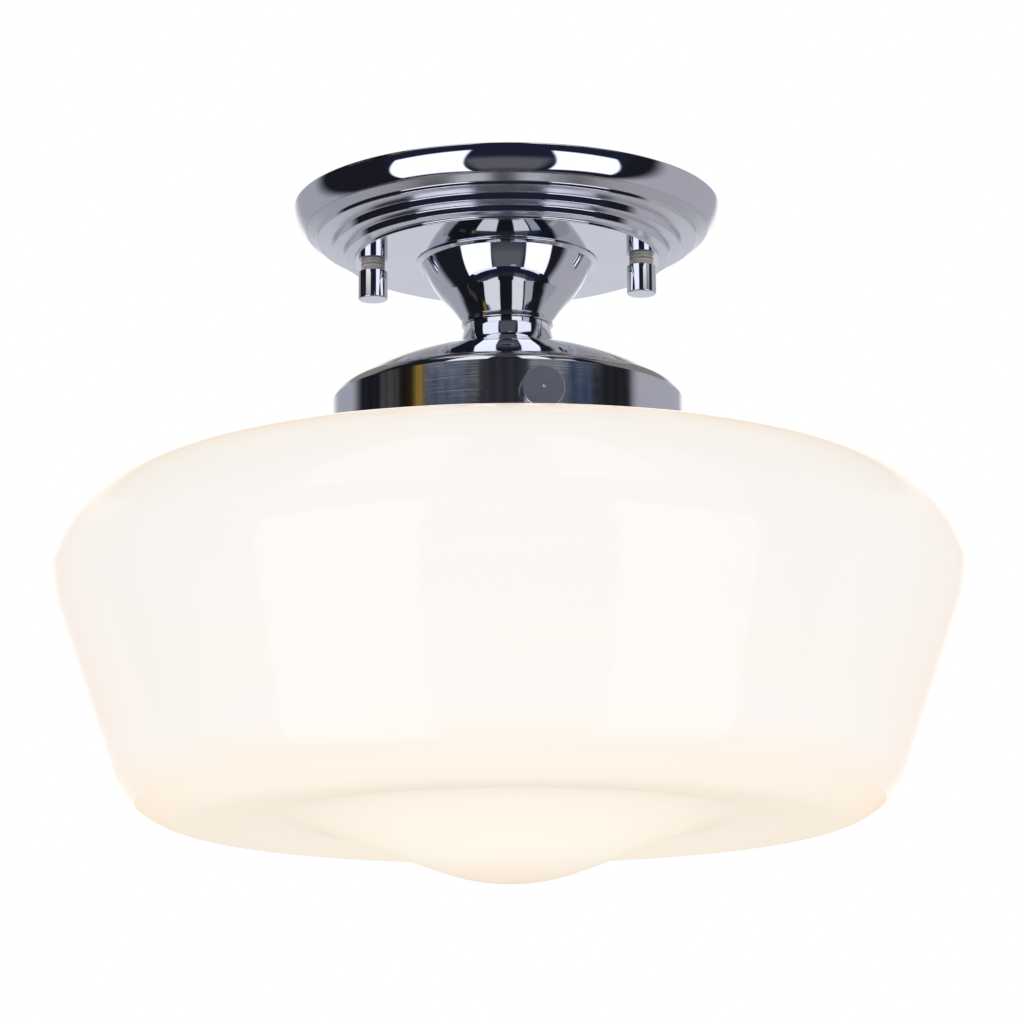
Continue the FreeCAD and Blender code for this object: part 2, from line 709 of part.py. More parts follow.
def screw_turn(index):
    """Angle of one thumbscrew about the light's axis, from -Y towards +X."""
    return S.screw_azimuth.value + FULL_TURN / S.screw_count.value * index


def facing(index):
    """Rotation that lays a piece's own Z axis along one thumbscrew, outwards."""
    angle = math.radians(screw_turn(index))
    outward = FreeCAD.Vector(math.sin(angle), -math.cos(angle), 0)
    return FreeCAD.Rotation(FreeCAD.Vector(0, 0, 1), outward)


def make_shade_holder():
    """Fitter: a short flared neck, a dome and a straight band with the thumbscrew holes."""
    neck_foot_radius = S.holder_top_radius + S.holder_neck_flare
    outer = [
        (stem_hole, 0),
        (S.holder_top_radius, 0, -S.holder_neck_bow),
        (neck_foot_radius, -S.holder_neck_high),
        (neck_foot_radius + S.dome_ledge_wide, -dome_top_drop, S.dome_bow),
        (band_radius - S.band_corner_wide, -dome_foot_drop, S.band_corner_bow),
        (band_radius, -band_top_drop),
        (band_radius, -holder_high),
    ]
    holder = turned("shade_holder", shell(outer, S.holder_wall))
    hole = (0, -screw_drop, S.screw_radius + S.thread_gap)
    sketch, pocket = drilled(holder, "screw_hole", [hole], role="XZ_Plane", other_way=True)
    pattern = holder.newObject("PartDesign::PolarPattern", "screw_holes")
    pattern.Originals = [pocket]
    pattern.Axis = (sketch, ["V_Axis"])
    pattern.Angle = FULL_TURN
    bind(pattern, "Occurrences", S.screw_count)
    holder.Tip = pattern
    upright = FreeCAD.Vector(0, 0, 1)
    place(holder, z=holder_top, rotation=FreeCAD.Rotation(upright, S.screw_azimuth.value))
    subpart(holder, "shade_holder")


def make_holder_bosses():
    """Threaded bosses welded inside the band, one for each thumbscrew."""
    hollow = S.boss_radius * S.boss_radius / (band_inside * 2)
    outer_end = band_inside - hollow - S.seat_gap
    bosses = []
    for index in range(int(S.screw_count.value)):
        outline = ring(S.boss_radius, S.screw_radius + S.thread_gap, outer_end, outer_end - S.boss_long)
        boss = turned(f"holder_boss_{index + 1}", outline)
        place(boss, z=screw_level, rotation=facing(index))
        bosses.append(boss)
    group("holder_bosses", bosses)


def make_thumbscrew(index):
    """Thumbscrew with a flat round head, and its soft tip; heights are distances from the light's axis."""
    tip_start = S.glass_neck_radius + S.screw_glass_gap
    tip_end = tip_start + S.screw_tip_long
    thread_start = tip_end + S.seat_gap
    head_back = band_radius + S.screw_head_gap
    head_front = head_back + S.screw_head_thick
    edge = S.screw_head_edge
    screw = turned(f"thumbscrew_{index + 1}", [
        (0, thread_start),
        (S.screw_radius, thread_start),
        (S.screw_radius, head_back),
        (S.screw_head_radius - edge, head_back),
        (S.screw_head_radius, head_back + edge),
        (S.screw_head_radius, head_front - edge),
        (S.screw_head_radius - edge, head_front),
        (S.screw_dimple, head_front),
        (0, head_front - S.screw_dimple),
    ])
    place(screw, z=screw_level, rotation=facing(index))
    subpart(screw, f"thumbscrew_{index + 1}")
    tip = turned(f"thumbscrew_tip_{index + 1}", disc(S.screw_tip_radius, tip_end, tip_start))
    place(tip, z=screw_level, rotation=facing(index))
    subpart(tip, f"thumbscrew_tip_{index + 1}")


# ---------------------------------------------------------------- stem

def make_stem():
    """Hollow threaded stem with a toothed washer and a nut at each end of the stack."""
    stem_top = canopy_face + S.stem_top_rise
    stem_foot = socket_top - S.socket_boss_high
    stem = turned("stem", ring(S.stem_radius, S.stem_bore, stem_top, stem_foot))
    subpart(stem, "stem")

    bushing = turned("stem_bushing", [
        (S.stem_bore - S.bushing_wall, stem_top + S.bushing_lip),
        (S.stem_radius, stem_top + S.bushing_lip),
        (S.stem_radius, stem_top + S.seat_gap),
        (S.stem_bore - S.seat_gap, stem_top + S.seat_gap),
        (S.stem_bore - S.seat_gap, stem_top - S.bushing_long),
        (S.stem_bore - S.bushing_wall, stem_top - S.bushing_long),
    ])
    subpart(bushing, "stem_bushing")

    bore = S.stem_radius + S.thread_gap
    washer_tops = {
        "upper": plate_top + S.seat_gap + S.stem_washer_thick,
        "lower": holder_top - S.holder_wall - S.seat_gap,
    }
    for name, top in washer_tops.items():
        outline = ring(S.stem_washer_radius, bore, top, top - S.stem_washer_thick)
        washer = turned(f"{name}_lock_washer", outline)
        subpart(washer, f"{name}_lock_washer")
    nut_tops = {
        "upper": washer_tops["upper"] + S.seat_gap + S.stem_nut_high,
        "lower": lower_nut_top,
    }
    for name, top in nut_tops.items():
        nut = hex_nut(f"{name}_lock_nut", S.stem_nut_flats, S.stem_nut_high, bore, top)
        subpart(nut, f"{name}_lock_nut")


# ---------------------------------------------------------------- lampholder

THREAD_LAND = 0.1


def rolled_thread(radius, top, long, rib, pitch):
    """Outer line of a rolled thread going down: as many ribs as fit between two plain ends. Each rib leaves
    a share of its pitch plain at its top and at its foot."""
    ribs = int(long.value / pitch.value) - 1
    margin = (long - pitch * ribs) / 2
    line = []
    for index in range(ribs):
        rib_top = top - margin - pitch * index
        line.append((radius, rib_top - pitch * THREAD_LAND, rib))
        line.append((radius, rib_top - pitch * (1 - THREAD_LAND)))
    return line


def make_lampholder():
    boss_foot = -S.socket_boss_high
    cap_shoulder = boss_foot + S.socket_cap_wall
    inside = S.socket_radius - S.socket_cap_wall
    hole = S.stem_radius + S.thread_gap
    cap = turned("lampholder_cap", [
        (hole, 0),
        (S.socket_boss_radius, 0),
        (S.socket_boss_radius, cap_shoulder),
        (S.socket_radius - S.socket_cap_edge, cap_shoulder, S.socket_cap_edge * QUARTER_BULGE),
        (S.socket_radius, cap_shoulder - S.socket_cap_edge),
        (S.socket_radius, -S.socket_cap_high),
        (inside, -S.socket_cap_high),
        (inside, boss_foot - S.socket_cap_wall, -S.socket_cap_wall * QUARTER_BULGE),
        (inside - S.socket_cap_wall, boss_foot),
        (hole, boss_foot),
    ])
    place(cap, z=socket_top)
    subpart(cap, "lampholder_cap")

    body = turned("lampholder_body", [
        (0, 0),
        (S.socket_radius, 0),
        (S.socket_radius, -S.socket_body_high),
        (S.socket_bore, -S.socket_body_high),
        (S.socket_bore, -S.socket_floor),
        (0, -S.socket_floor),
    ])
    terminal_hole = S.terminal_shank_radius + S.thread_gap
    holes = [(S.terminal_offset * side, 0, terminal_hole) for name, side in STUD_SIDES]
    drilled(body, "terminal_holes", holes, depth=S.terminal_shank_long + S.thread_gap)
    place(body, z=socket_body_top)
    subpart(body, "lampholder_body")

    shell_top = socket_floor_foot - S.seat_gap
    outside = S.shell_radius + S.shell_wall
    line = [(outside, shell_top)]
    line += rolled_thread(outside, shell_top, S.shell_long, S.shell_rib, S.bulb_pitch)
    line.append((outside, shell_top - S.shell_long))
    subpart(turned("screw_shell", shell(line, S.shell_wall)), "screw_shell")


def make_tongue():
    """Spring tongue that touches the bulb's contact."""
    outline = [
        (-S.tongue_end, 0),
        (-S.tongue_bend, 0),
        (S.tongue_bend, -S.tongue_fall),
        (S.tongue_bend, -S.tongue_fall - S.tongue_thick),
        (-S.tongue_bend, -S.tongue_thick),
        (-S.tongue_end, -S.tongue_thick),
    ]
    tongue = padded("centre_contact", [outline], [], S.tongue_wide)
    upright = FreeCAD.Rotation(FreeCAD.Vector(1, 0, 0), 90)
    place(tongue, y=-S.tongue_wide / 2, z=socket_floor_foot - S.seat_gap, rotation=upright)
    subpart(tongue, "centre_contact")
    return socket_floor_foot - S.seat_gap - S.tongue_fall - S.tongue_thick


def headed_screw(name, head, head_high, shank, shank_long, down=True):
    """Plain screw with its shank along Z from its own origin and its head the other way."""
    way = -1 if down else 1
    outline = [
        (0, head_high * -way),
        (head, head_high * -way),
        (head, 0),
        (shank, 0),
        (shank, shank_long * way),
        (0, shank_long * way),
    ]
    return turned(name, outline)


def make_terminals():
    for name, side in (("silver", -1), ("brass", 1)):
        screw = headed_screw(f"terminal_screw_{name}", S.terminal_head_radius, S.terminal_head_high,
                             S.terminal_shank_radius, S.terminal_shank_long)
        place(screw, x=S.terminal_offset * side, z=socket_body_top + S.seat_gap)
        subpart(screw, f"terminal_screw_{name}")
    ground = headed_screw("ground_screw", S.ground_screw_head, S.ground_screw_head_high,
                          S.terminal_shank_radius, S.bar_thick, down=False)
    place(ground, x=S.ground_screw_offset, z=fixture_bar_foot - S.seat_gap)
    subpart(ground, "ground_screw")


# ---------------------------------------------------------------- bulb

CHEEK_SHARE = 0.4


def make_bulb(bulb_top):
    """Round bulb with a medium screw base, hanging with its base upwards. Its flare meets the ball at a
    share of the ball's radius above the ball's middle."""
    button = turned("bulb_contact", disc(S.bulb_contact_radius, 0, -S.bulb_contact_high))
    place(button, z=bulb_top)
    subpart(button, "bulb_contact")

    insulator_top = -S.bulb_contact_high - S.seat_gap
    insulator_foot = insulator_top - S.bulb_insulator_high
    insulator = turned("bulb_insulator", [
        (0, insulator_top),
        (S.bulb_contact_radius + S.bulb_rib, insulator_top),
        (S.bulb_throat_radius, insulator_foot),
        (0, insulator_foot),
    ])
    place(insulator, z=bulb_top)
    subpart(insulator, "bulb_insulator")

    base_top = insulator_foot - S.seat_gap
    base_foot = base_top - S.bulb_base_long
    root = S.bulb_base_radius - S.bulb_rib
    line = [(S.bulb_throat_radius, base_top), (root, base_top - S.bulb_rib)]
    thread_long = S.bulb_base_long - S.bulb_rib
    line += rolled_thread(root, base_top - S.bulb_rib, thread_long, S.bulb_rib, S.bulb_pitch)
    line.append((root, base_foot))
    base = turned("bulb_base", shell(line, S.bulb_base_wall))
    place(base, z=bulb_top)
    subpart(base, "bulb_base")

    neck_top = base_foot - S.running_gap
    neck_foot = neck_top - S.bulb_neck_long
    middle = S.bulb_radius - S.bulb_long
    cheek = S.bulb_radius * CHEEK_SHARE
    cheek_radius = S.bulb_radius * math.sqrt(1 - CHEEK_SHARE ** 2)
    cheek_bulge = S.bulb_radius * (1 - math.cos(math.asin(CHEEK_SHARE) / 2))
    line = [
        (S.bulb_stub_radius, neck_top + S.bulb_stub_long),
        (S.bulb_stub_radius, neck_top),
        (S.bulb_neck_radius, neck_top - S.bulb_rib),
        (S.bulb_neck_foot_radius, neck_foot),
        (cheek_radius, middle + cheek, cheek_bulge),
        (S.bulb_radius, middle, S.bulb_radius * QUARTER_BULGE),
        (0, -S.bulb_long),
    ]
    envelope = turned("bulb_envelope", shell(line, S.bulb_wall))
    place(envelope, z=bulb_top)
    subpart(envelope, "bulb_envelope")


# ---------------------------------------------------------------- glass shade

def make_glass_shade():
    """One piece opal shade: neck, wide shoulder, tapered side, and a low dome in a hollow underneath."""
    shoulder_drop = holder_high + S.shoulder_gap
    shoulder_end_drop = shoulder_drop + S.shoulder_fall
    wide_drop = shoulder_end_drop + S.glass_turn_fall
    side_top_drop = wide_drop + S.side_turn_fall
    side_foot_drop = side_top_drop + S.side_high
    underside_drop = side_foot_drop + S.foot_turn_fall
    recess_drop = underside_drop - S.recess_rise
    nipple_root_drop = recess_drop + S.nipple_root_fall
    nipple_tip_drop = nipple_root_drop + S.nipple_flank_high
    tip_bulge = ball_bulge(S.nipple_tip_radius, S.nipple_tip_high)
    outer = [
        (S.glass_neck_radius, -(band_top_drop + S.glass_top_fall)),
        (S.glass_neck_radius, -(shoulder_drop - S.shoulder_root_high), -S.shoulder_root_bow),
        (S.glass_neck_radius + S.shoulder_root_wide, -shoulder_drop, S.shoulder_bow),
        (S.shoulder_end_radius, -shoulder_end_drop, S.glass_turn_bow),
        (S.glass_radius, -wide_drop, S.side_turn_bow),
        (S.side_top_radius, -side_top_drop),
        (S.side_foot_radius, -side_foot_drop, S.foot_turn_bow),
        (S.underside_radius, -underside_drop, S.recess_bow),
        (S.recess_radius, -recess_drop, -S.nipple_root_bow),
        (S.nipple_root_radius, -nipple_root_drop),
        (S.nipple_tip_radius, -nipple_tip_drop, tip_bulge),
        (0, -(nipple_tip_drop + S.nipple_tip_high)),
    ]
    shade = turned("glass_shade", shell(outer, S.glass_wall))
    place(shade, z=holder_top)
    subpart(shade, "glass_shade")


# ---------------------------------------------------------------- wiring

def wire_along(name, points, radius, bend):
    """Round wire along straight runs joined by tangent arcs."""
    spots = [FreeCAD.Vector(*(as_size(length).value for length in point)) for point in points]
    edges = []
    start = spots[0]
    for before, corner, after in zip(spots, spots[1:], spots[2:]):
        arriving = (corner - before).normalize()
        leaving = (after - corner).normalize()
        half = arriving.getAngle(leaving) / 2
        back = bend.value * math.tan(half)
        first = corner - arriving * back
        last = corner + leaving * back
        inward = (leaving - arriving).normalize()
        middle = corner + inward * (bend.value / math.cos(half) - bend.value)
        edges.append(Part.LineSegment(start, first).toShape())
        edges.append(Part.Arc(first, middle, last).toShape())
        start = last
    edges.append(Part.LineSegment(start, spots[-1]).toShape())
    path = Part.Wire(edges)
    section = Part.Wire(Part.Circle(spots[0], spots[1] - spots[0], radius.value).toShape())
    solid = path.makePipeShell([section], True, False)
    expected = math.pi * radius.value ** 2 * path.Length
    print(f"{name}: length {path.Length:.1f} mm, volume over section x length {solid.Volume / expected:.4f}")
    wire = doc.addObject("Part::Feature", name + "_wire")
    wire.Shape = solid
    place(wire)
    return subpart(wire, name)


def make_leads():
    """Two insulated leads from the lampholder's terminals, up the stem and out into the canopy."""
    terminal_level = socket_body_top + S.lead_radius + S.running_gap
    terminal_side = S.terminal_offset - S.terminal_head_radius - S.running_gap
    reach = S.connector_start + S.wire_in_connector
    for name, side, way in (("black_lead", 1, 1), ("white_lead", -1, -1)):
        aside = S.lead_offset * side
        points = [
            (terminal_side * side, 0, terminal_level),
            (aside, 0, terminal_level),
            (aside, 0, wire_level),
            (aside, reach * way, wire_level),
        ]
        wire_along(name, points, S.lead_radius, S.lead_bend)


def make_ground_wire():
    """Bare wire from the ground screw to its connector."""
    start_level = fixture_bar_foot - S.ground_screw_head_high / 2 - S.seat_gap
    start = S.ground_screw_head + S.running_gap
    first_turn = start + S.lead_bend
    second_turn = first_turn + S.lead_bend * 2
    offset = S.ground_screw_offset
    points = [
        (offset, start, start_level),
        (offset, first_turn, start_level),
        (offset, second_turn, wire_level),
        (offset, S.connector_start + S.wire_in_connector, wire_level),
    ]
    wire_along("ground_wire", points, S.ground_radius, S.lead_bend)


def make_connectors():
    """Three twist-on wire connectors, for the black, the white and the ground wire."""
    bore = S.lead_radius + S.connector_bore_gap
    outline = [
        (bore, 0),
        (S.connector_radius, 0),
        (S.connector_tip_radius, S.connector_long),
        (0, S.connector_long),
        (0, S.connector_socket),
        (bore, S.connector_socket),
    ]
    connectors = []
    spots = (
        ("black", S.lead_offset, 1),
        ("white", -S.lead_offset, -1),
        ("ground", S.ground_screw_offset, 1),
    )
    for name, across, way in spots:
        connector = turned(f"connector_{name}", outline)
        along = FreeCAD.Rotation(FreeCAD.Vector(0, 0, 1), FreeCAD.Vector(0, way, 0))
        place(connector, x=across, y=S.connector_start * way, z=wire_level, rotation=along)
        connectors.append(connector)
    group("wire_connectors", connectors)


# ---------------------------------------------------------------- build

def check_document():
    """Stops before anything is written if an object or a sub-part failed."""
    doc.recompute()
    for thing in doc.Objects:
        if "Invalid" in thing.State or "Error" in thing.State:
            raise RuntimeError(f"{thing.Name} failed: {thing.State}")
    for thing in SUBPARTS:
        if thing.Shape.isNull() or not thing.Shape.isValid() or not thing.Shape.Solids:
            raise RuntimeError(f"{thing.Label} has no valid solid")


def write_parts():
    os.makedirs("parts", exist_ok=True)
    for thing in SUBPARTS:
        thing.Shape.exportStep(f"parts/{thing.Label}.step")


make_bars()
make_eyelet()
make_studs()
make_canopy()
for stud_name, stud_side in STUD_SIDES:
    make_cap_nut(stud_name, stud_side)
make_neck_cup()
make_shade_holder()
make_holder_bosses()
for screw_index in range(int(S.screw_count.value)):
    make_thumbscrew(screw_index)
make_stem()
make_lampholder()
tongue_foot = make_tongue()
make_terminals()
make_bulb(tongue_foot - S.bulb_seat_gap)
make_glass_shade()
make_leads()
make_ground_wire()
make_connectors()
check_document()
write_parts()
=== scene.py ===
"""Looks of the semi flush ceiling light: finely turned chrome, opal glass, hardware, studio and camera.

The frame is in metres. Profiles are written in millimetres as (radius, height) corners, with heights below
the ceiling negative, and every turned piece is spun round its own axis in the frame.
"""

import json
import math

import bpy
from mathutils import Matrix, Vector


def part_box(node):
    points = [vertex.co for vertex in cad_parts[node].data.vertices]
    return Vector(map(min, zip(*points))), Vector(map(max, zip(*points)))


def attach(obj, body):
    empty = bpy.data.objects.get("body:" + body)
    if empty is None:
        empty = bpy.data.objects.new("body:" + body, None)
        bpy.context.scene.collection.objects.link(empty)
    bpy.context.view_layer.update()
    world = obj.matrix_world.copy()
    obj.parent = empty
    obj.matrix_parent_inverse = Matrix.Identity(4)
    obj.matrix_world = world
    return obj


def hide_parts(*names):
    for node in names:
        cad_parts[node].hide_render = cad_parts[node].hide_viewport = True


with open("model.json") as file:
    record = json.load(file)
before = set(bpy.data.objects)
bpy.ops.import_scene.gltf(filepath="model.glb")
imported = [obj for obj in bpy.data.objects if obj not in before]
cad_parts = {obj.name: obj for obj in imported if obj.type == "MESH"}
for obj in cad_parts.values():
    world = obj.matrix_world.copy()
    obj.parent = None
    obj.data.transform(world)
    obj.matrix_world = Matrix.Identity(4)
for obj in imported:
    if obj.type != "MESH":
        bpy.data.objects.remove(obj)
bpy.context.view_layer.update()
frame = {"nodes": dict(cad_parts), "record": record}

MM = 0.001
UP = Vector((0, 0, 1))
ORIGIN = Vector((0, 0, 0))

# ---------------------------------------------------------------- sizes, in millimetres

SEAT_GAP = 0.05
CANOPY_RADIUS = 70.4
CANOPY_DEPTH = 18.6
CANOPY_WALL = 0.9
CANOPY_RIM_HIGH = 0.8
CANOPY_BAND = (66.2, 10.1)
CANOPY_BAND_BULGE = 0.75
RISER_LEAN = 0.15
# Each step of the canopy: radius of its riser, foot of the riser above the face, height of the riser.
CANOPY_STEPS = ((63.0, 7.25, 1.1), (57.9, 4.0, 2.4), (54.1, 1.3, 2.1), (50.4, 0.0, 0.85))
TREADS_FROM = 50.2
TREADS_TO = 66.6
STEM_RADIUS = 5.0
STEM_BORE = 3.7
STEM_HOLE = 5.25
STEM_PITCH = 0.94
STUD_REACH = 44.45
STUD_RADIUS = 2.05
STUD_PITCH = 0.794
STUD_HOLE = 2.55
THREAD_DEPTH = 0.38
STEM_THREAD_DEPTH = 0.4
COLLAR_RADIUS = 3.95
COLLAR_HIGH = 2.15
COLLAR_GROOVE = 0.35
CAP_NUT_RADIUS = 4.85
CAP_NUT_HIGH = 9.4
CAP_NUT_CROWN = 1.4
CAP_NUT_THREAD = 2.12
CUP_HIGH = 21.9
CUP_WALL = 0.9
HOLDER_HIGH = 45.9
HOLDER_WALL = 1.2
DOME_FOOT_DROP = 22.3
BAND_TOP_DROP = 25.8
BAND_RADIUS = 57.4
SCREW_COUNT = 3
SCREW_AZIMUTH = 13.0
SCREW_DROP = 36.4
SCREW_RADIUS = 2.05
SCREW_TIP_GAP = 0.3
SCREW_TIP_LONG = 1.6
SCREW_HEAD_GAP = 2.2
SCREW_HEAD_RADIUS = 6.8
SCREW_HEAD_THICK = 4.8
BORE_RADIUS = 2.12
BORE_ROW = 1.127
BORE_REACH = 2
GLASS_WALL = 3.5
GLASS_NECK = 50.8
NIPPLE_DROP = 183.4
HOLLOW_EDGE = 120.0
BULB_LONG = 108.0
BULB_RADIUS = 30.0
BULB_BASE_LONG = 26.2
BULB_NECK_LONG = 11.0
BULB_STUB_LONG = 7.0

FACE = -CANOPY_DEPTH
CUP_TOP = FACE - SEAT_GAP
HOLDER_TOP = CUP_TOP - CUP_HIGH - SEAT_GAP
SCREW_LEVEL = HOLDER_TOP - SCREW_DROP
BULB_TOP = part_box("bulb_contact")[1][2] / MM


# ---------------------------------------------------------------- outlines

def arc_points(here, there, bulge, step=3.0):
    """Points of an arc that bows to the left of the way from here to there, without its first point."""
    chord = there - here
    half_turn = 2 * math.atan2(2 * bulge, chord.length)
    count = max(2, math.ceil(abs(math.degrees(half_turn)) * 2 / step))
    radius = chord.length / (2 * math.sin(half_turn))
    left = Vector((-chord.y, chord.x)).normalized()
    centre = (here + there) / 2 - left * radius * math.cos(half_turn)
    start = here - centre
    points = []
    for index in range(1, count + 1):
        turn = -2 * half_turn * index / count
        cosine = math.cos(turn)
        sine = math.sin(turn)
        spoke = Vector((start.x * cosine - start.y * sine, start.x * sine + start.y * cosine))
        points.append(centre + spoke)
    return points


def rounded(before, corner, after, radius, steps=5):
    """A corner replaced by a small arc that touches both of its sides."""
    arriving = (corner - before).normalized()
    leaving = (after - corner).normalized()
    turn = arriving.angle_signed(leaving, 0.0)
    if radius <= 0 or abs(turn) < math.radians(2):
        return [corner]
    room = min((corner - before).length, (after - corner).length) * 0.45
    back = min(radius * abs(math.tan(turn / 2)), room)
    start = corner - arriving * back
    end = corner + leaving * back
    bulge = back * math.tan(abs(turn) / 4) * math.cos(turn / 2)
    side = math.copysign(bulge, turn)
    return [start] + arc_points(start, end, side, step=abs(math.degrees(turn)) / steps)


def outline(corners, fillet=0.15, closed=True):
    """Points of an outline. A corner is (radius, height), (radius, height, bulge of the arc that leaves it)
    or (radius, height, bulge, fillet of the corner)."""
    path = []
    count = len(corners)
    for index, corner in enumerate(corners):
        here = Vector(corner[:2])
        own = corner[3] if len(corner) > 3 else fillet
        path.append((here, own))
        last = index == count - 1
        if len(corner) > 2 and corner[2] and not (last and not closed):
            there = Vector(corners[(index + 1) % count][:2])
            path += [(point, 0.0) for point in arc_points(here, there, corner[2])[:-1]]
    points = []
    for index, (here, own) in enumerate(path):
        before = path[index - 1][0]
        after = path[(index + 1) % len(path)][0]
        ends_open = not closed and index in (0, len(path) - 1)
        if ends_open or here.x < 1e-6:
            points.append(here)
        else:
            points += rounded(before, here, after, own)
    return points


def inner_line(outer, wall):
    """The outer corners moved to the right of their way by the wall, with their arcs scaled to fit."""
    ways = []
    for here, there in zip(outer, outer[1:]):
        chord = Vector(there[:2]) - Vector(here[:2])
        middle = math.atan2(chord.y, chord.x)
        bulge = here[2] if len(here) > 2 else 0.0
        half_turn = 2 * math.atan2(2 * bulge, chord.length)
        ways.append((middle + half_turn, middle - half_turn))
    moved = []
    for index, corner in enumerate(outer):
        arriving = ways[index - 1][1] if index else ways[0][0]
        leaving = ways[index][0] if index < len(ways) else ways[-1][1]
        half = math.remainder(leaving - arriving, 2 * math.pi) / 2
        normal = arriving + half - math.pi / 2
        offset = wall / math.cos(half)
        if corner[0] < 1e-6:
            moved.append(Vector((0.0, corner[1] + math.copysign(wall, math.sin(normal)))))
        else:
            across = corner[0] + offset * math.cos(normal)
            moved.append(Vector((across, corner[1] + offset * math.sin(normal))))
    return moved


def sheet_outline(outer, wall):
    """Closed outline of a sheet from its outer corners and its wall."""
    moved = inner_line(outer, wall)
    back = []
    for index in reversed(range(len(moved))):
        point = tuple(moved[index])
        bulge = outer[index - 1][2] if index and len(outer[index - 1]) > 2 else 0.0
        if bulge:
            outer_chord = (Vector(outer[index][:2]) - Vector(outer[index - 1][:2])).length
            inner_chord = (moved[index] - moved[index - 1]).length
            point = (*point, -bulge * inner_chord / outer_chord)
        back.append(point)
    return [tuple(corner) for corner in outer[:-1]] + [tuple(outer[-1][:2])] + back


# ---------------------------------------------------------------- turned pieces

def axis_matrix(place, direction):
    """Takes a piece's own Z axis to a direction at a place, in metres."""
    turn = UP.rotation_difference(Vector(direction)).to_matrix().to_4x4()
    return Matrix.Translation(Vector(place)) @ turn


def turned_normals(points, closed):
    """Outward normals in the outline's plane; a longer side counts more, so flat sides stay flat."""
    count = len(points)
    normals = []
    for index, point in enumerate(points):
        total = Vector((0.0, 0.0))
        if closed or index:
            total += point - points[index - 1]
        if closed or index < count - 1:
            total += points[(index + 1) % count] - point
        normals.append(Vector((-total.y, total.x)).normalized())
    return normals


def new_mesh(name, vertices, faces):
    """A mesh from its vertices and faces."""
    mesh = bpy.data.meshes.new(name)
    mesh.from_pydata(vertices, [], faces)
    return mesh


def add_object(name, data):
    """A new object in the scene."""
    item = bpy.data.objects.new(name, data)
    bpy.context.scene.collection.objects.link(item)
    return item


def turned_vertices(points, normals, matrix, segments):
    """Vertices and normals of a turned piece, and its rings; a point on the axis has one vertex."""
    turn = matrix.to_3x3()
    vertices = []
    vertex_normals = []
    rings = []
    for point, normal in zip(points, normals):
        if point.x < 1e-6:
            rings.append([len(vertices)])
            vertices.append(matrix @ Vector((0, 0, point.y * MM)))
            vertex_normals.append(turn @ Vector((0, 0, math.copysign(1, normal.y))))
            continue
        ring = []
        for index in range(segments):
            angle = 2 * math.pi * index / segments
            cosine = math.cos(angle)
            sine = math.sin(angle)
            ring.append(len(vertices))
            vertices.append(matrix @ Vector((point.x * cosine * MM, point.x * sine * MM, point.y * MM)))
            vertex_normals.append(turn @ Vector((normal.x * cosine, normal.x * sine, normal.y)))
        rings.append(ring)
    return vertices, vertex_normals, rings


def turned_faces(rings, segments, closed, reverse):
    """Faces from each ring of vertices to the next."""
    faces = []
    following = rings[1:] + rings[:1] if closed else rings[1:]
    for upper, lower in zip(rings, following):
        if len(upper) == 1 and len(lower) == 1:
            continue
        for index in range(segments):
            after = (index + 1) % segments
            if len(upper) == 1:
                face = [upper[0], lower[index], lower[after]]
            elif len(lower) == 1:
                face = [upper[index], lower[0], upper[after]]
            else:
                face = [upper[index], lower[index], lower[after], upper[after]]
            faces.append(face[::-1] if reverse else face)
    return faces


def spin(name, points, place=ORIGIN, direction=UP, segments=192, closed=True, bore=None):
    """A turned piece from the points of its outline, with normals worked out from the outline.

    The bore, if given, takes the rings, vertices, normals and faces, and returns the last three with holes.
    """
    area = sum(a.x * b.y - b.x * a.y for a, b in zip(points, points[1:] + points[:1]))
    normals = turned_normals(points, closed)
    if area > 0:
        normals = [-normal for normal in normals]
    matrix = axis_matrix(place, direction)
    vertices, vertex_normals, rings = turned_vertices(points, normals, matrix, segments)
    faces = turned_faces(rings, segments, closed, area >= 0)
    if bore:
        vertices, vertex_normals, faces = bore(rings, vertices, vertex_normals, faces)
    mesh = new_mesh(name, vertices, faces)
    mesh.polygons.foreach_set("use_smooth", [True] * len(mesh.polygons))
    mesh.normals_split_custom_set_from_vertices(vertex_normals)
    return add_object(name, mesh)


THREAD_ROWS = 8
THREAD_FADE = 0.8


def helix_spots(radius, depth, pitch, top, foot, segments):
    """Spots of a thread's surface round the Z axis, row under row."""
    rows = math.ceil((top - foot) / pitch * THREAD_ROWS)
    spots = []
    for row in range(rows + 1):
        height = top + (foot - top) * row / rows
        fade = min(1.0, (top - height) / pitch * THREAD_FADE, (height - foot) / pitch * THREAD_FADE)
        for index in range(segments):
            angle = 2 * math.pi * index / segments
            phase = (height / pitch - index / segments) % 1.0
            valley = 0.5 + 0.5 * math.cos(2 * math.pi * phase)
            own = radius - depth * (valley * fade + (1 - fade))
            spots.append(Vector((own * math.cos(angle), own * math.sin(angle), height)))
    return spots


def ring_spots(radius, height, segments):
    """Spots of a circle round the Z axis."""
    angles = [2 * math.pi * index / segments for index in range(segments)]
    return [Vector((radius * math.cos(angle), radius * math.sin(angle), height)) for angle in angles]


def ring_faces(first, second, segments):
    """Faces between two rings, given by the numbers that their vertices start at."""
    faces = []
    for index in range(segments):
        after = (index + 1) % segments
        faces.append([first + index, first + after, second + after, second + index])
    return faces


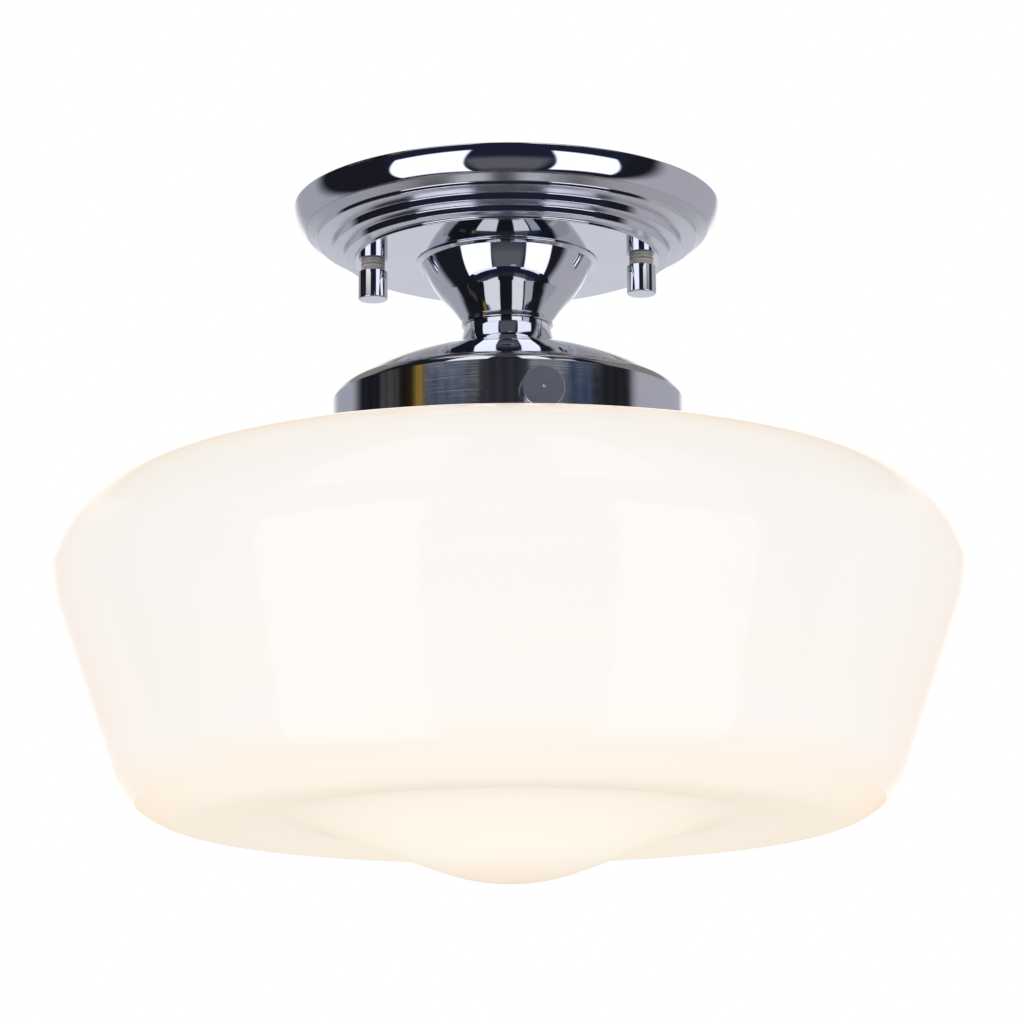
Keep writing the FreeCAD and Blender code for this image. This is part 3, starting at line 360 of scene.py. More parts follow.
def helix_rod(name, radius, depth, pitch, top, foot, place=ORIGIN, direction=UP, segments=40, core=0.0):
    """Threaded rod or tube: the crest runs round it as a helix, fading out at both ends."""
    spots = helix_spots(radius, depth, pitch, top, foot, segments)
    last = len(spots) - segments
    faces = []
    for upper in range(0, last, segments):
        lower = upper + segments
        for index in range(segments):
            after = (index + 1) % segments
            faces.append([upper + after, upper + index, lower + index, lower + after])
    threaded = len(faces)
    if core:
        core_top = len(spots)
        core_foot = core_top + segments
        spots += ring_spots(core, top, segments) + ring_spots(core, foot, segments)
        faces += ring_faces(0, core_top, segments)
        faces += [face[::-1] for face in ring_faces(last, core_foot, segments)]
        faces += ring_faces(core_top, core_foot, segments)
    else:
        faces.append(list(range(segments)))
        faces.append(list(range(last, last + segments))[::-1])
    matrix = axis_matrix(place, direction)
    mesh = new_mesh(name, [matrix @ (spot * MM) for spot in spots], faces)
    mesh.polygons.foreach_set("use_smooth", [index < threaded for index in range(len(faces))])
    return add_object(name, mesh)


def repaint(piece, material, chosen):
    """A second material on the faces that are chosen."""
    piece.data.materials.append(material)
    for face in piece.data.polygons:
        if chosen(face):
            face.material_index = 1


def from_axis(face):
    """How far the middle of a face is from the light's axis, in millimetres."""
    return math.hypot(face.center.x, face.center.y) / MM


def finish_piece(piece, body, slot, material, *nodes):
    """Material, body and the nodes that the piece stands for; the slot is not used."""
    piece.data.materials.clear()
    piece.data.materials.append(material)
    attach(piece, body)
    if nodes:
        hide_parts(*nodes)
    return piece


# ---------------------------------------------------------------- materials

def new_material(name):
    """A material with its tree, its main shader and a texture coordinate node."""
    material = bpy.data.materials.new(name)
    material.use_nodes = True
    tree = material.node_tree
    shader = tree.nodes["Principled BSDF"]
    place = tree.nodes.new("ShaderNodeTexCoord")
    return material, tree, shader, place


def noise(tree, place, scale, detail=3.0, stretch=(1, 1, 1)):
    """Noise over the piece, in cells per metre, stretched along the axes."""
    mapping = tree.nodes.new("ShaderNodeMapping")
    mapping.inputs["Scale"].default_value = stretch
    tree.links.new(place.outputs["Object"], mapping.inputs["Vector"])
    texture = tree.nodes.new("ShaderNodeTexNoise")
    texture.inputs["Scale"].default_value = scale
    texture.inputs["Detail"].default_value = detail
    tree.links.new(mapping.outputs["Vector"], texture.inputs["Vector"])
    return texture.outputs["Fac"]


def spread(tree, value, low, high):
    """A value from 0 to 1 spread between two numbers."""
    node = tree.nodes.new("ShaderNodeMapRange")
    node.inputs["To Min"].default_value = low
    node.inputs["To Max"].default_value = high
    tree.links.new(value, node.inputs["Value"])
    return node.outputs["Result"]


def blend_colours(tree, factor, first, second):
    """A colour between two, by a factor."""
    node = tree.nodes.new("ShaderNodeMix")
    node.data_type = "RGBA"
    node.inputs["A"].default_value = (*first, 1)
    node.inputs["B"].default_value = (*second, 1)
    tree.links.new(factor, node.inputs["Factor"])
    return node.outputs["Result"]


def bump(tree, shader, value, distance, strength=1.0, below=None):
    """Bump from a value, over another bump if one is given."""
    node = tree.nodes.new("ShaderNodeBump")
    node.inputs["Strength"].default_value = strength
    node.inputs["Distance"].default_value = distance
    tree.links.new(value, node.inputs["Height"])
    if below is not None:
        tree.links.new(below, node.inputs["Normal"])
    tree.links.new(node.outputs["Normal"], shader.inputs["Normal"])
    return node.outputs["Normal"]


def metal(
    name, light, dark, roughness, swing,
    scale=60.0, ripple=0.0, ripple_scale=900.0, ripple_stretch=(1, 1, 1), edge=0.0,
):
    """Metal whose colour and roughness vary slightly, with an optional fine ripple and edges that catch the
    light as if rounded by that radius."""
    material, tree, shader, place = new_material(name)
    shader.inputs["Metallic"].default_value = 1.0
    patches = noise(tree, place, scale)
    tree.links.new(blend_colours(tree, patches, dark, light), shader.inputs["Base Color"])
    smudges = noise(tree, place, scale * 3.5, detail=6.0)
    low = max(0.0, roughness - swing)
    tree.links.new(spread(tree, smudges, low, roughness + swing), shader.inputs["Roughness"])
    rounding = None
    if edge:
        bevel = tree.nodes.new("ShaderNodeBevel")
        bevel.inputs["Radius"].default_value = edge
        rounding = bevel.outputs["Normal"]
    if ripple:
        lines = noise(tree, place, ripple_scale, detail=2.0, stretch=ripple_stretch)
        bump(tree, shader, lines, ripple, below=rounding)
    return material


def plain(name, light, dark, roughness, swing, scale=400.0, depth=0.00002, coat=0.0):
    """Plastic, rubber or ceramic with slight mottling and a fine grain."""
    material, tree, shader, place = new_material(name)
    grain = noise(tree, place, scale, detail=5.0)
    tree.links.new(blend_colours(tree, grain, dark, light), shader.inputs["Base Color"])
    tree.links.new(spread(tree, grain, roughness - swing, roughness + swing), shader.inputs["Roughness"])
    shader.inputs["Coat Weight"].default_value = coat
    bump(tree, shader, grain, depth)
    return material


def with_painted_shade(tree, factor, colour, shade_colour):
    """A colour multiplied towards a second colour by a factor, which paints shade into the glass's glow; the
    second colour is three numbers or an output.
    """
    node = tree.nodes.new("ShaderNodeMix")
    node.data_type = "RGBA"
    node.blend_type = "MULTIPLY"
    if isinstance(shade_colour, tuple):
        node.inputs["B"].default_value = (*shade_colour, 1)
    else:
        tree.links.new(shade_colour, node.inputs["B"])
    tree.links.new(factor, node.inputs["Factor"])
    tree.links.new(colour, node.inputs["A"])
    return node.outputs["Result"]


# Painted glow of the lit shade, lighter and darker with the height: positions from the glass's foot (0) to
# its top (1), with their colours.
PAINTED_GLOW_COLOURS = (
    (0.00, (0.930, 0.745, 0.565)),
    (0.05, (0.980, 0.900, 0.710)),
    (0.10, (1.000, 0.875, 0.690)),
    (0.16, (0.895, 0.790, 0.655)),
    (0.24, (0.840, 0.800, 0.750)),
    (0.36, (0.830, 0.790, 0.730)),
    (0.52, (0.820, 0.785, 0.748)),
    (0.72, (0.795, 0.775, 0.728)),
    (0.82, (0.880, 0.820, 0.735)),
    (1.00, (0.850, 0.765, 0.665)),
)
PAINTED_GLOW_STRENGTH = 0.715
# The base stays grey, so that most of the glass's brightness comes from the painted glow.
OPAL_GREY = (0.42, 0.42, 0.42, 1)
GLASS_IOR = 1.33
HOLLOW_BLEND = 0.86
# Painted shade towards the edges and at grazing angles, for the body and for the hollow under it.
BODY_PAINTED_EDGE_SHADE = (0.95, 0.82, 0.71)
HOLLOW_PAINTED_EDGE_SHADE = (0.72, 0.78, 0.90)
BODY_PAINTED_GRAZING_SHADE = (0.96, 0.70, 0.48)
HOLLOW_PAINTED_GRAZING_SHADE = (1.00, 0.86, 0.68)


def hollow_painted_edge_shade(tree, place):
    """Painted shade for the edges under the glass: the body's at the hollow's rim, the hollow's own further
    in.
    """
    flat = tree.nodes.new("ShaderNodeVectorMath")
    flat.operation = "MULTIPLY"
    flat.inputs[1].default_value = (1, 1, 0)
    tree.links.new(place.outputs["Object"], flat.inputs[0])
    radius = tree.nodes.new("ShaderNodeVectorMath")
    radius.operation = "LENGTH"
    tree.links.new(flat.outputs["Vector"], radius.inputs[0])
    inside = tree.nodes.new("ShaderNodeMapRange")
    inside.interpolation_type = "SMOOTHSTEP"
    inside.inputs["From Min"].default_value = HOLLOW_EDGE * MM
    inside.inputs["From Max"].default_value = HOLLOW_EDGE * MM * HOLLOW_BLEND
    tree.links.new(radius.outputs["Value"], inside.inputs["Value"])
    return blend_colours(tree, inside.outputs["Result"], BODY_PAINTED_EDGE_SHADE, HOLLOW_PAINTED_EDGE_SHADE)


def opal_glass(name, glossy):
    """Lit opal glass with painted light: a painted warm white glow that changes with the height, and painted
    shade that deepens towards the edges and at grazing angles.
    """
    material, tree, shader, place = new_material(name)
    split = tree.nodes.new("ShaderNodeSeparateXYZ")
    tree.links.new(place.outputs["Object"], split.inputs["Vector"])
    height = tree.nodes.new("ShaderNodeMapRange")
    height.inputs["From Min"].default_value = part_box("glass_shade")[0][2]
    height.inputs["From Max"].default_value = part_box("glass_shade")[1][2]
    tree.links.new(split.outputs["Z"], height.inputs["Value"])
    ramp = tree.nodes.new("ShaderNodeValToRGB")
    while len(ramp.color_ramp.elements) < len(PAINTED_GLOW_COLOURS):
        ramp.color_ramp.elements.new(0.5)
    for element, (position, colour) in zip(ramp.color_ramp.elements, PAINTED_GLOW_COLOURS):
        element.position = position
        element.color = (*colour, 1)
    tree.links.new(height.outputs["Result"], ramp.inputs["Fac"])
    edge = tree.nodes.new("ShaderNodeLayerWeight")
    edge.inputs["Blend"].default_value = 0.12
    painted_edge_shade = BODY_PAINTED_EDGE_SHADE if glossy else hollow_painted_edge_shade(tree, place)
    colour = with_painted_shade(tree, edge.outputs["Facing"], ramp.outputs["Color"], painted_edge_shade)
    grazing = tree.nodes.new("ShaderNodeFresnel")
    grazing.inputs["IOR"].default_value = GLASS_IOR
    painted_grazing_shade = BODY_PAINTED_GRAZING_SHADE if glossy else HOLLOW_PAINTED_GRAZING_SHADE
    colour = with_painted_shade(tree, grazing.outputs["Fac"], colour, painted_grazing_shade)
    tree.links.new(colour, shader.inputs["Emission Color"])
    shader.inputs["Base Color"].default_value = OPAL_GREY
    shader.inputs["Emission Strength"].default_value = PAINTED_GLOW_STRENGTH
    clouds = noise(tree, place, 30.0, detail=2.0)
    tree.links.new(spread(tree, clouds, 0.05, 0.09), shader.inputs["Roughness"])
    shader.inputs["IOR"].default_value = GLASS_IOR
    shader.inputs["Specular IOR Level"].default_value = 0.5 if glossy else 0.0
    bump(tree, shader, clouds, 0.0002, strength=0.3)
    return material


def glow(name, colour, strength, roughness):
    """Frosted bulb glass, lit."""
    material, tree, shader, place = new_material(name)
    frost = noise(tree, place, 900.0, detail=4.0)
    tree.links.new(blend_colours(tree, frost, colour, (1, 1, 1)), shader.inputs["Emission Color"])
    shader.inputs["Base Color"].default_value = (0.9, 0.88, 0.84, 1)
    shader.inputs["Emission Strength"].default_value = strength
    tree.links.new(spread(tree, frost, roughness * 0.8, roughness * 1.2), shader.inputs["Roughness"])
    bump(tree, shader, frost, 0.00003)
    return material


CHROME_LIGHT = (0.80, 0.81, 0.84)
CHROME_DARK = (0.74, 0.75, 0.79)
chrome = metal(
    "polished_chrome", CHROME_LIGHT, CHROME_DARK, 0.035, 0.015, ripple=0.000004, ripple_scale=120.0,
)
turned_chrome = metal(
    "turned_chrome", CHROME_LIGHT, CHROME_DARK, 0.10, 0.04,
    ripple=0.000006, ripple_scale=140.0, ripple_stretch=(0.2, 0.2, 24.0),
)
soft_chrome = metal("soft_chrome", (0.74, 0.74, 0.77), (0.68, 0.68, 0.71), 0.24, 0.03)
# Satin steel with a painted reflection: a dark blue-grey base, the colour of the dark room that the
# thumbscrew heads' faces mirror.
satin_painted_reflection = metal(
    "satin_steel", (0.30, 0.33, 0.40), (0.24, 0.27, 0.34), 0.34, 0.06, scale=300.0, ripple=0.000004,
)
zinc = metal(
    "zinc_steel", (0.70, 0.70, 0.68), (0.52, 0.53, 0.54), 0.33, 0.08,
    scale=350.0, ripple=0.000008, edge=0.00025,
)
brass = metal(
    "shell_brass", (0.82, 0.62, 0.30), (0.66, 0.47, 0.22), 0.24, 0.07,
    scale=200.0, ripple=0.000005, edge=0.0002,
)
copper = metal("bare_copper", (0.85, 0.45, 0.30), (0.66, 0.32, 0.20), 0.28, 0.08, scale=300.0)
dull_aluminium = metal("socket_cap_metal", (0.72, 0.72, 0.73), (0.58, 0.58, 0.60), 0.38, 0.08, scale=250.0)
base_metal = metal("base_metal", (0.80, 0.79, 0.77), (0.66, 0.65, 0.63), 0.25, 0.06, scale=150.0)
tin = metal("contact_metal", (0.62, 0.60, 0.56), (0.50, 0.48, 0.44), 0.35, 0.08, scale=600.0)
green_coat = metal(
    "green_screw", (0.10, 0.42, 0.18), (0.06, 0.30, 0.12), 0.35, 0.08,
    scale=400.0, ripple=0.000005, edge=0.0002,
)
washer = plain("washer_tan", (0.52, 0.48, 0.45), (0.40, 0.37, 0.34), 0.35, 0.06, coat=0.3)
rubber = plain("soft_tip", (0.82, 0.82, 0.78), (0.72, 0.72, 0.69), 0.7, 0.1)
moulded = plain("bushing_plastic", (0.86, 0.86, 0.84), (0.78, 0.78, 0.76), 0.45, 0.08)
porcelain = plain("porcelain", (0.90, 0.89, 0.85), (0.82, 0.80, 0.75), 0.22, 0.06, scale=120.0, coat=0.5)
black_wire = plain("black_insulation", (0.03, 0.03, 0.03), (0.015, 0.015, 0.015), 0.42, 0.08)
white_wire = plain("white_insulation", (0.85, 0.85, 0.84), (0.76, 0.76, 0.75), 0.42, 0.08)
connector_plastic = plain("connector_plastic", (0.85, 0.30, 0.06), (0.72, 0.22, 0.04), 0.32, 0.06)
insulator_glass = plain("insulator_glass", (0.05, 0.05, 0.08), (0.02, 0.02, 0.04), 0.12, 0.04, coat=0.5)
# The glass's body and a copy for the hollow under it, each with its own painted glow and shade.
opal = opal_glass("opal_glass", True)
opal_hollow_painted_shade = opal_glass("opal_hollow_painted_shade", False)
bulb_glass = glow("bulb_glass", (1.0, 0.86, 0.66), 0.24, 0.25)


# ---------------------------------------------------------------- canopy and its hardware

def make_canopy():
    outer = [
        (CANOPY_RADIUS, 0.0),
        (CANOPY_RADIUS - 0.1, -CANOPY_RIM_HIGH, CANOPY_BAND_BULGE),
        (CANOPY_BAND[0], FACE + CANOPY_BAND[1]),
    ]
    for radius, rise, high in CANOPY_STEPS:
        outer.append((radius, FACE + rise + high, 0.0, 0.5))
        outer.append((radius - RISER_LEAN * high, FACE + rise, 0.0, 0.3))
    outer.append((STEM_HOLE, FACE))
    points = outline(sheet_outline(outer, CANOPY_WALL), fillet=0.35)
    canopy = spin("canopy_shell", points, segments=320)
    finish_piece(canopy, "fixture", "polished_chrome", chrome, "canopy")

    def on_tread(face):
        return TREADS_FROM < from_axis(face) < TREADS_TO and face.normal.z < -0.6

    repaint(canopy, soft_chrome, on_tread)


def make_neck_cup():
    """The bell shaped cup under the canopy's face."""
    outer = [
        (30.0, CUP_TOP),
        (30.0, CUP_TOP - 0.35, 0.0, 0.15),
        (28.2, CUP_TOP - 1.0, 0.5, 0.3),
        (21.6, CUP_TOP - 12.0, -0.35, 1.0),
        (15.1, CUP_TOP - 20.2),
        (15.1, CUP_TOP - CUP_HIGH),
        (STEM_HOLE, CUP_TOP - CUP_HIGH),
    ]
    points = outline(sheet_outline(outer, CUP_WALL), fillet=0.4)
    cup = spin("neck_cup_shell", points, segments=256)
    finish_piece(cup, "fixture", "polished_chrome", chrome, "neck_cup")


def screw_direction(index):
    """Way out from the light's axis along a thumbscrew."""
    angle = math.radians(SCREW_AZIMUTH + 360 / SCREW_COUNT * index)
    return Vector((math.sin(angle), -math.cos(angle), 0))


def square_loop():
    """Rows and columns round the block of vertices that a hole takes the place of."""
    last = 2 * BORE_REACH
    loop = [(0, column) for column in range(last)]
    loop += [(row, last) for row in range(last)]
    loop += [(last, column) for column in range(last, 0, -1)]
    loop += [(row, 0) for row in range(last, 0, -1)]
    return loop


def bore_rings(rings, vertices, radius):
    """The rings of the band at a hole's rows, on the side of the sheet with that radius."""
    found = []
    for row in range(2 * BORE_REACH + 1):
        level = (SCREW_LEVEL - (row - BORE_REACH) * BORE_ROW) * MM
        for ring in rings:
            spot = vertices[ring[0]]
            if abs(spot.z - level) < 1e-6 and abs(math.hypot(spot.x, spot.y) - radius) < 1e-5:
                found.append(ring)
    return found


def move_to_hole(vertices, vertex_normals, vertex, radius, middle, side):
    """Moves a vertex of the band along the band onto the edge of the hole at an angle round the light."""
    spot = vertices[vertex]
    across = math.remainder(math.atan2(spot.y, spot.x) - middle, 2 * math.pi) * radius
    up = spot.z - SCREW_LEVEL * MM
    share = BORE_RADIUS * MM / math.hypot(across, up)
    angle = middle + across * share / radius
    cosine = math.cos(angle)
    sine = math.sin(angle)
    vertices[vertex] = Vector((radius * cosine, radius * sine, SCREW_LEVEL * MM + up * share))
    vertex_normals[vertex] = Vector((cosine * side, sine * side, 0))


def bore_walls(vertices, vertex_normals, loops, away):
    """Faces through the sheet, between the hole's edges outside and inside."""
    walls = []
    for loop in loops:
        wall = []
        for vertex in loop:
            spot = vertices[vertex]
            inward = away * spot.dot(away) + Vector((0, 0, SCREW_LEVEL * MM)) - spot
            wall.append(len(vertices))
            vertices.append(spot.copy())
            vertex_normals.append(inward.normalized())
        walls.append(wall)
    outside, inside = walls
    faces = []
    for corner in range(len(outside)):
        after = (corner + 1) % len(outside)
        faces.append([outside[corner], inside[corner], inside[after], outside[after]])
    return faces


def bore_band(rings, vertices, vertex_normals, faces):
    """Round holes for the thumbscrews through the band."""
    columns = len(rings[-1])
    sides = []
    for radius, side in ((BAND_RADIUS * MM, 1), ((BAND_RADIUS - HOLDER_WALL) * MM, -1)):
        sides.append((radius, side, bore_rings(rings, vertices, radius)))
    for index in range(SCREW_COUNT):
        away = screw_direction(index)
        middle = math.atan2(away.y, away.x)
        first = round(middle / (2 * math.pi / columns)) - BORE_REACH
        gone = set()
        loops = []
        for radius, side, rows in sides:
            for ring in rows:
                gone.update(ring[(first + across) % columns] for across in range(2 * BORE_REACH + 1))
            loop = [rows[row][(first + across) % columns] for row, across in square_loop()]
            for vertex in loop:
                move_to_hole(vertices, vertex_normals, vertex, radius, middle, side)
            loops.append(loop)
        faces = [face for face in faces if not gone.issuperset(face)]
        faces += bore_walls(vertices, vertex_normals, loops, away)
    used = sorted({vertex for face in faces for vertex in face})
    place = {vertex: number for number, vertex in enumerate(used)}
    faces = [[place[vertex] for vertex in face] for face in faces]
    return [vertices[vertex] for vertex in used], [vertex_normals[vertex] for vertex in used], faces


def make_shade_holder():
    outer = [
        (STEM_HOLE, HOLDER_TOP),
        (14.4, HOLDER_TOP, -0.5),
        (16.9, HOLDER_TOP - 8.1),
        (19.4, HOLDER_TOP - 8.9, 2.0),
        (54.2, HOLDER_TOP - DOME_FOOT_DROP, 0.45),
        (BAND_RADIUS, HOLDER_TOP - BAND_TOP_DROP, 0.0, 0.12),
    ]
    outer += [(BAND_RADIUS, SCREW_LEVEL - row * BORE_ROW) for row in range(-BORE_REACH, BORE_REACH + 1)]
    outer.append((BAND_RADIUS, HOLDER_TOP - HOLDER_HIGH))
    points = outline(sheet_outline(outer, HOLDER_WALL), fillet=0.3)
    holder = spin("shade_holder_shell", points, segments=320, bore=bore_band)
    finish_piece(holder, "fixture", "polished_chrome", chrome, "shade_holder")
    inset = 0.3
    band_top = (HOLDER_TOP - BAND_TOP_DROP - inset) * MM

    def on_band(face):
        return from_axis(face) > BAND_RADIUS - inset and band_top > face.center.z

    repaint(holder, turned_chrome, on_band)


def node_heights(node):
    """Top and foot of a node, in millimetres."""
    low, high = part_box(node)
    return high[2] / MM, low[2] / MM


def make_threaded_steel():
    """Canopy studs and the hollow stem, with their threads."""
    top, foot = node_heights("canopy_studs")
    for name, side in (("left", -1), ("right", 1)):
        place = Vector((STUD_REACH * side, 0, 0)) * MM
        piece = helix_rod(f"canopy_stud_{name}", STUD_RADIUS, THREAD_DEPTH, STUD_PITCH, top, foot, place)
        finish_piece(piece, "fixture", "zinc_steel", zinc, "canopy_studs")
    top, foot = node_heights("stem")
    depth = STEM_THREAD_DEPTH
    piece = helix_rod("threaded_stem", STEM_RADIUS, depth, STEM_PITCH, top, foot, segments=72, core=STEM_BORE)
    finish_piece(piece, "fixture", "zinc_steel", zinc, "stem")


def make_cap_nut(name, side):
    """A cap nut and the grooved collar above it."""
    place = Vector((STUD_REACH * side, 0, 0)) * MM
    collar_top = FACE - SEAT_GAP
    collar_foot = collar_top - COLLAR_HIGH
    middle = collar_top - COLLAR_HIGH / 2
    groove = 0.25
    collar = [
        (COLLAR_RADIUS, collar_top), (COLLAR_RADIUS, middle + groove),
        (COLLAR_RADIUS - COLLAR_GROOVE, middle), (COLLAR_RADIUS, middle - groove),
        (COLLAR_RADIUS, collar_foot), (STUD_HOLE, collar_foot), (STUD_HOLE, collar_top),
    ]
    piece = spin(f"collar_{name}", outline(collar, fillet=0.12), place, segments=96)
    finish_piece(piece, f"collar_{name}", "washer_tan", washer, f"cap_nut_collar_{name}")
    top = collar_foot - SEAT_GAP
    foot = top - CAP_NUT_HIGH
    inner_end = foot + CAP_NUT_CROWN
    nut = [
        (CAP_NUT_THREAD, top), (CAP_NUT_RADIUS, top), (CAP_NUT_RADIUS, foot, 0.0, 0.45),
        (0.0, foot), (0.0, inner_end), (CAP_NUT_THREAD, inner_end),
    ]
    piece = spin(f"cap_nut_barrel_{name}", outline(nut, fillet=0.15), place, segments=128)
    finish_piece(piece, f"cap_nut_{name}", "polished_chrome", chrome, f"cap_nut_{name}")


# ---------------------------------------------------------------- thumbscrews

def make_thumbscrew(index):
    """A thumbscrew's threaded shank and its flat round head, with the turning centre in its face."""
    place = Vector((0, 0, SCREW_LEVEL)) * MM
    direction = screw_direction(index)
    thread_start = GLASS_NECK + SCREW_TIP_GAP + SCREW_TIP_LONG + SEAT_GAP
    back = BAND_RADIUS + SCREW_HEAD_GAP
    front = back + SCREW_HEAD_THICK
    body = f"thumbscrew_{index + 1}"
    shank = f"thumbscrew_shank_{index + 1}"
    end = back + 0.1
    piece = helix_rod(shank, SCREW_RADIUS, THREAD_DEPTH, STUD_PITCH, end, thread_start, place, direction)
    finish_piece(piece, body, "satin_steel", zinc, body)
    radius = SCREW_HEAD_RADIUS
    head = [
        (0.0, back), (radius, back, 0.0, 0.4), (radius, front - 0.25, 0.0, 0.08),
        (radius - 0.2, front, 0.0, 0.08), (0.55, front, 0.0, 0.1), (0.0, front - 0.5),
    ]
    piece = spin(f"thumbscrew_head_{index + 1}", outline(head), place, direction, segments=128)
    finish_piece(piece, body, "satin_steel", soft_chrome, body)
    # The head's outer face gets the satin steel with the dark blue-grey painted reflection.
    repaint(piece, satin_painted_reflection, lambda face: face.normal.dot(direction) > 0.9)


# ---------------------------------------------------------------- glass and bulb

def make_glass():
    """The glass shade, with the heights of its corners below the holder's top."""
    outer = [
        (GLASS_NECK, -28.6),
        (GLASS_NECK, -43.2, -1.6),
        (57.0, -47.8, 1.189),
        (108.24, -53.5, 0.178),
        (123.87, -56.92, 5.17),
        (147.5, -84.0, 0.75),
        (143.6, -101.0),
        (127.2, -147.5, 4.7),
        (103.0, -165.1, 0.45),
        (79.0, -163.3, -1.05),
        (63.0, -164.6),
        (22.5, -179.4, 1.008),
        (0.0, -NIPPLE_DROP),
    ]
    outer = [(corner[0], corner[1] + HOLDER_TOP, *corner[2:]) for corner in outer]
    points = outline(sheet_outline(outer, GLASS_WALL), fillet=0.8)
    shade = spin("glass_shade_body", points, segments=384)
    finish_piece(shade, "shade", "opal_glass", opal, "glass_shade")
    # The hollow under the glass gets the copy with its own painted shade and no gloss.
    repaint(shade, opal_hollow_painted_shade, lambda face: face.normal.z < -0.5 and from_axis(face) < HOLLOW_EDGE)
    shade.visible_glossy = False


def make_bulb():
    """The bulb's glass, from the stub inside its base to its round end."""
    neck_top = BULB_TOP - BULB_BASE_LONG
    neck_foot = neck_top - BULB_NECK_LONG
    stub_top = neck_top + BULB_STUB_LONG
    middle = BULB_TOP + BULB_RADIUS - BULB_LONG
    bulb = [
        (0.0, stub_top), (11.4, stub_top), (11.4, neck_top, 0.0, 0.3),
        (14.2, neck_top - 0.5, 0.0, 0.4), (16.2, neck_foot, 0.0, 8.0), (27.495, middle + 12.0, 0.6246, 4.0),
        (BULB_RADIUS, middle, BULB_RADIUS * (1 - math.sqrt(0.5)), 0.0), (0.0, BULB_TOP - BULB_LONG),
    ]
    piece = spin("bulb_glass_body", outline(bulb, fillet=0.3), segments=160)
    finish_piece(piece, "bulb", "bulb_glass", bulb_glass, "bulb_envelope")
    piece.visible_glossy = False


make_canopy()
make_neck_cup()
make_shade_holder()
make_threaded_steel()
for side_name, side_way in (("left", -1), ("right", 1)):
    make_cap_nut(side_name, side_way)
for screw_index in range(SCREW_COUNT):
    make_thumbscrew(screw_index)
make_glass()
make_bulb()

NODE_MATERIALS = {
    "polished_chrome": chrome,
    "satin_steel": satin_painted_reflection,
    "soft_tip": rubber,
    "zinc_steel": zinc,
    "bushing_plastic": moulded,
    "socket_cap_metal": dull_aluminium,
    "porcelain": porcelain,
    "shell_brass": brass,
    "black_insulation": black_wire,
    "white_insulation": white_wire,
    "bare_copper": copper,
    "green_screw": green_coat,
    "connector_plastic": connector_plastic,
    "base_metal": base_metal,
    "insulator_glass": insulator_glass,
    "contact_metal": tin,
    "washer_tan": washer,
    "opal_glass": opal,
    "bulb_glass": bulb_glass,
}

for entry in frame["record"]["subparts"]:
    node = frame["nodes"][entry["node"]]
    node.data.materials.clear()
    node.data.materials.append(NODE_MATERIALS[entry["material_slot"]])


# ---------------------------------------------------------------- studio

FLOOR_LIFT = 0.24
DOME_RADIUS = 2.6
DOME_CENTRE = Vector((0, 0, -0.1))
DOME_COLUMNS = 360
DOME_ROWS = 180
LAMP_DISTANCE = 1.6
FILL_STRENGTH = 0.78
FLOOR_SIZE = 60.0
FLOOR_LEVEL = -2.4

# Colours behind the light by elevation; everything in front is painted over them.
BACK_COLOURS = (
    (-90, (0.16, 0.155, 0.16)),
    (-62, (0.36, 0.345, 0.35)),
    (-36, (0.40, 0.385, 0.39)),
    (-20, (0.66, 0.68, 0.75)),
    (2, (0.72, 0.74, 0.80)),
    (6, (1.00, 1.00, 1.00)),
    (24, (1.00, 1.00, 1.00)),
    (30, (0.27, 0.25, 0.23)),
    (56, (0.22, 0.21, 0.20)),
    (66, (0.05, 0.05, 0.06)),
    (90, (0.10, 0.10, 0.11)),
)

# Panels in the order they are painted: azimuth from, azimuth to, elevation from, elevation to, width of the
# soft edge across and up, colour. Azimuth 0 is at the camera and grows towards +X.
PANELS = (
    (-156, -100, -56, 26, 24, 16, (0.40, 0.41, 0.47)),
    (80, 156, -56, 26, 16, 16, (0.44, 0.44, 0.49)),
    (-116, 88, -91, 64, 14, 6, (0.012, 0.012, 0.018)),
    (-66, 68, -91, -62, 8, 8, (0.050, 0.050, 0.060)),
    (-66, 68, -66, 16, 10, 8, (0.014, 0.017, 0.038)),
    (-24, 26, -64, -30, 10, 16, (0.120, 0.118, 0.135)),
    (-90, -74, 9, 16.5, 3, 3, (0.060, 0.060, 0.062)),
    (-74, -63, 9, 16.5, 3, 3, (0.012, 0.009, 0.004)),
    (-63, -54, 9, 16.5, 3, 3, (0.250, 0.160, 0.034)),
    (-54, -26, 9, 16.5, 4, 3, (0.036, 0.056, 0.100)),
    (-26, 14, 9, 16.5, 6, 3, (0.030, 0.031, 0.038)),
    (14, 38, 9, 16.5, 5, 3, (0.105, 0.118, 0.140)),
    (38, 56, 9, 16.5, 5, 3, (0.032, 0.054, 0.105)),
    (56, 86, 9, 16.5, 4, 3, (0.016, 0.017, 0.020)),
    (-55, -18, 17, 74, 1.5, 1.5, (1.05, 1.05, 1.05)),
    (13, 40, 17, 74, 1.5, 1.5, (1.05, 1.05, 1.05)),
    (44, 62, 17, 60, 2, 2, (0.50, 0.52, 0.57)),
)

# White windows below the horizon: top left, top right, foot left and foot right as (azimuth, elevation).
WINDOWS = (
    ((-60, -8), (-18, -8), (-84, -50), (-31, -66)),
    ((24, -9), (60, -9), (34, -60), (78, -46)),
)
WINDOW_COLOUR = (1.30, 1.33, 1.50)
STREAKS_FROM = 8
STREAKS_TO = 16.5
STREAKS_LEFT = -112
STREAKS_RIGHT = 86
STREAKS_DEPTH = 0.26

# Each wave of the streaks: how fast it runs, phase, height.
STREAK_WAVES = ((0.83, 0.0, 1.0), (1.97, 1.3, 1.0), (4.3, 0.4, 0.7))


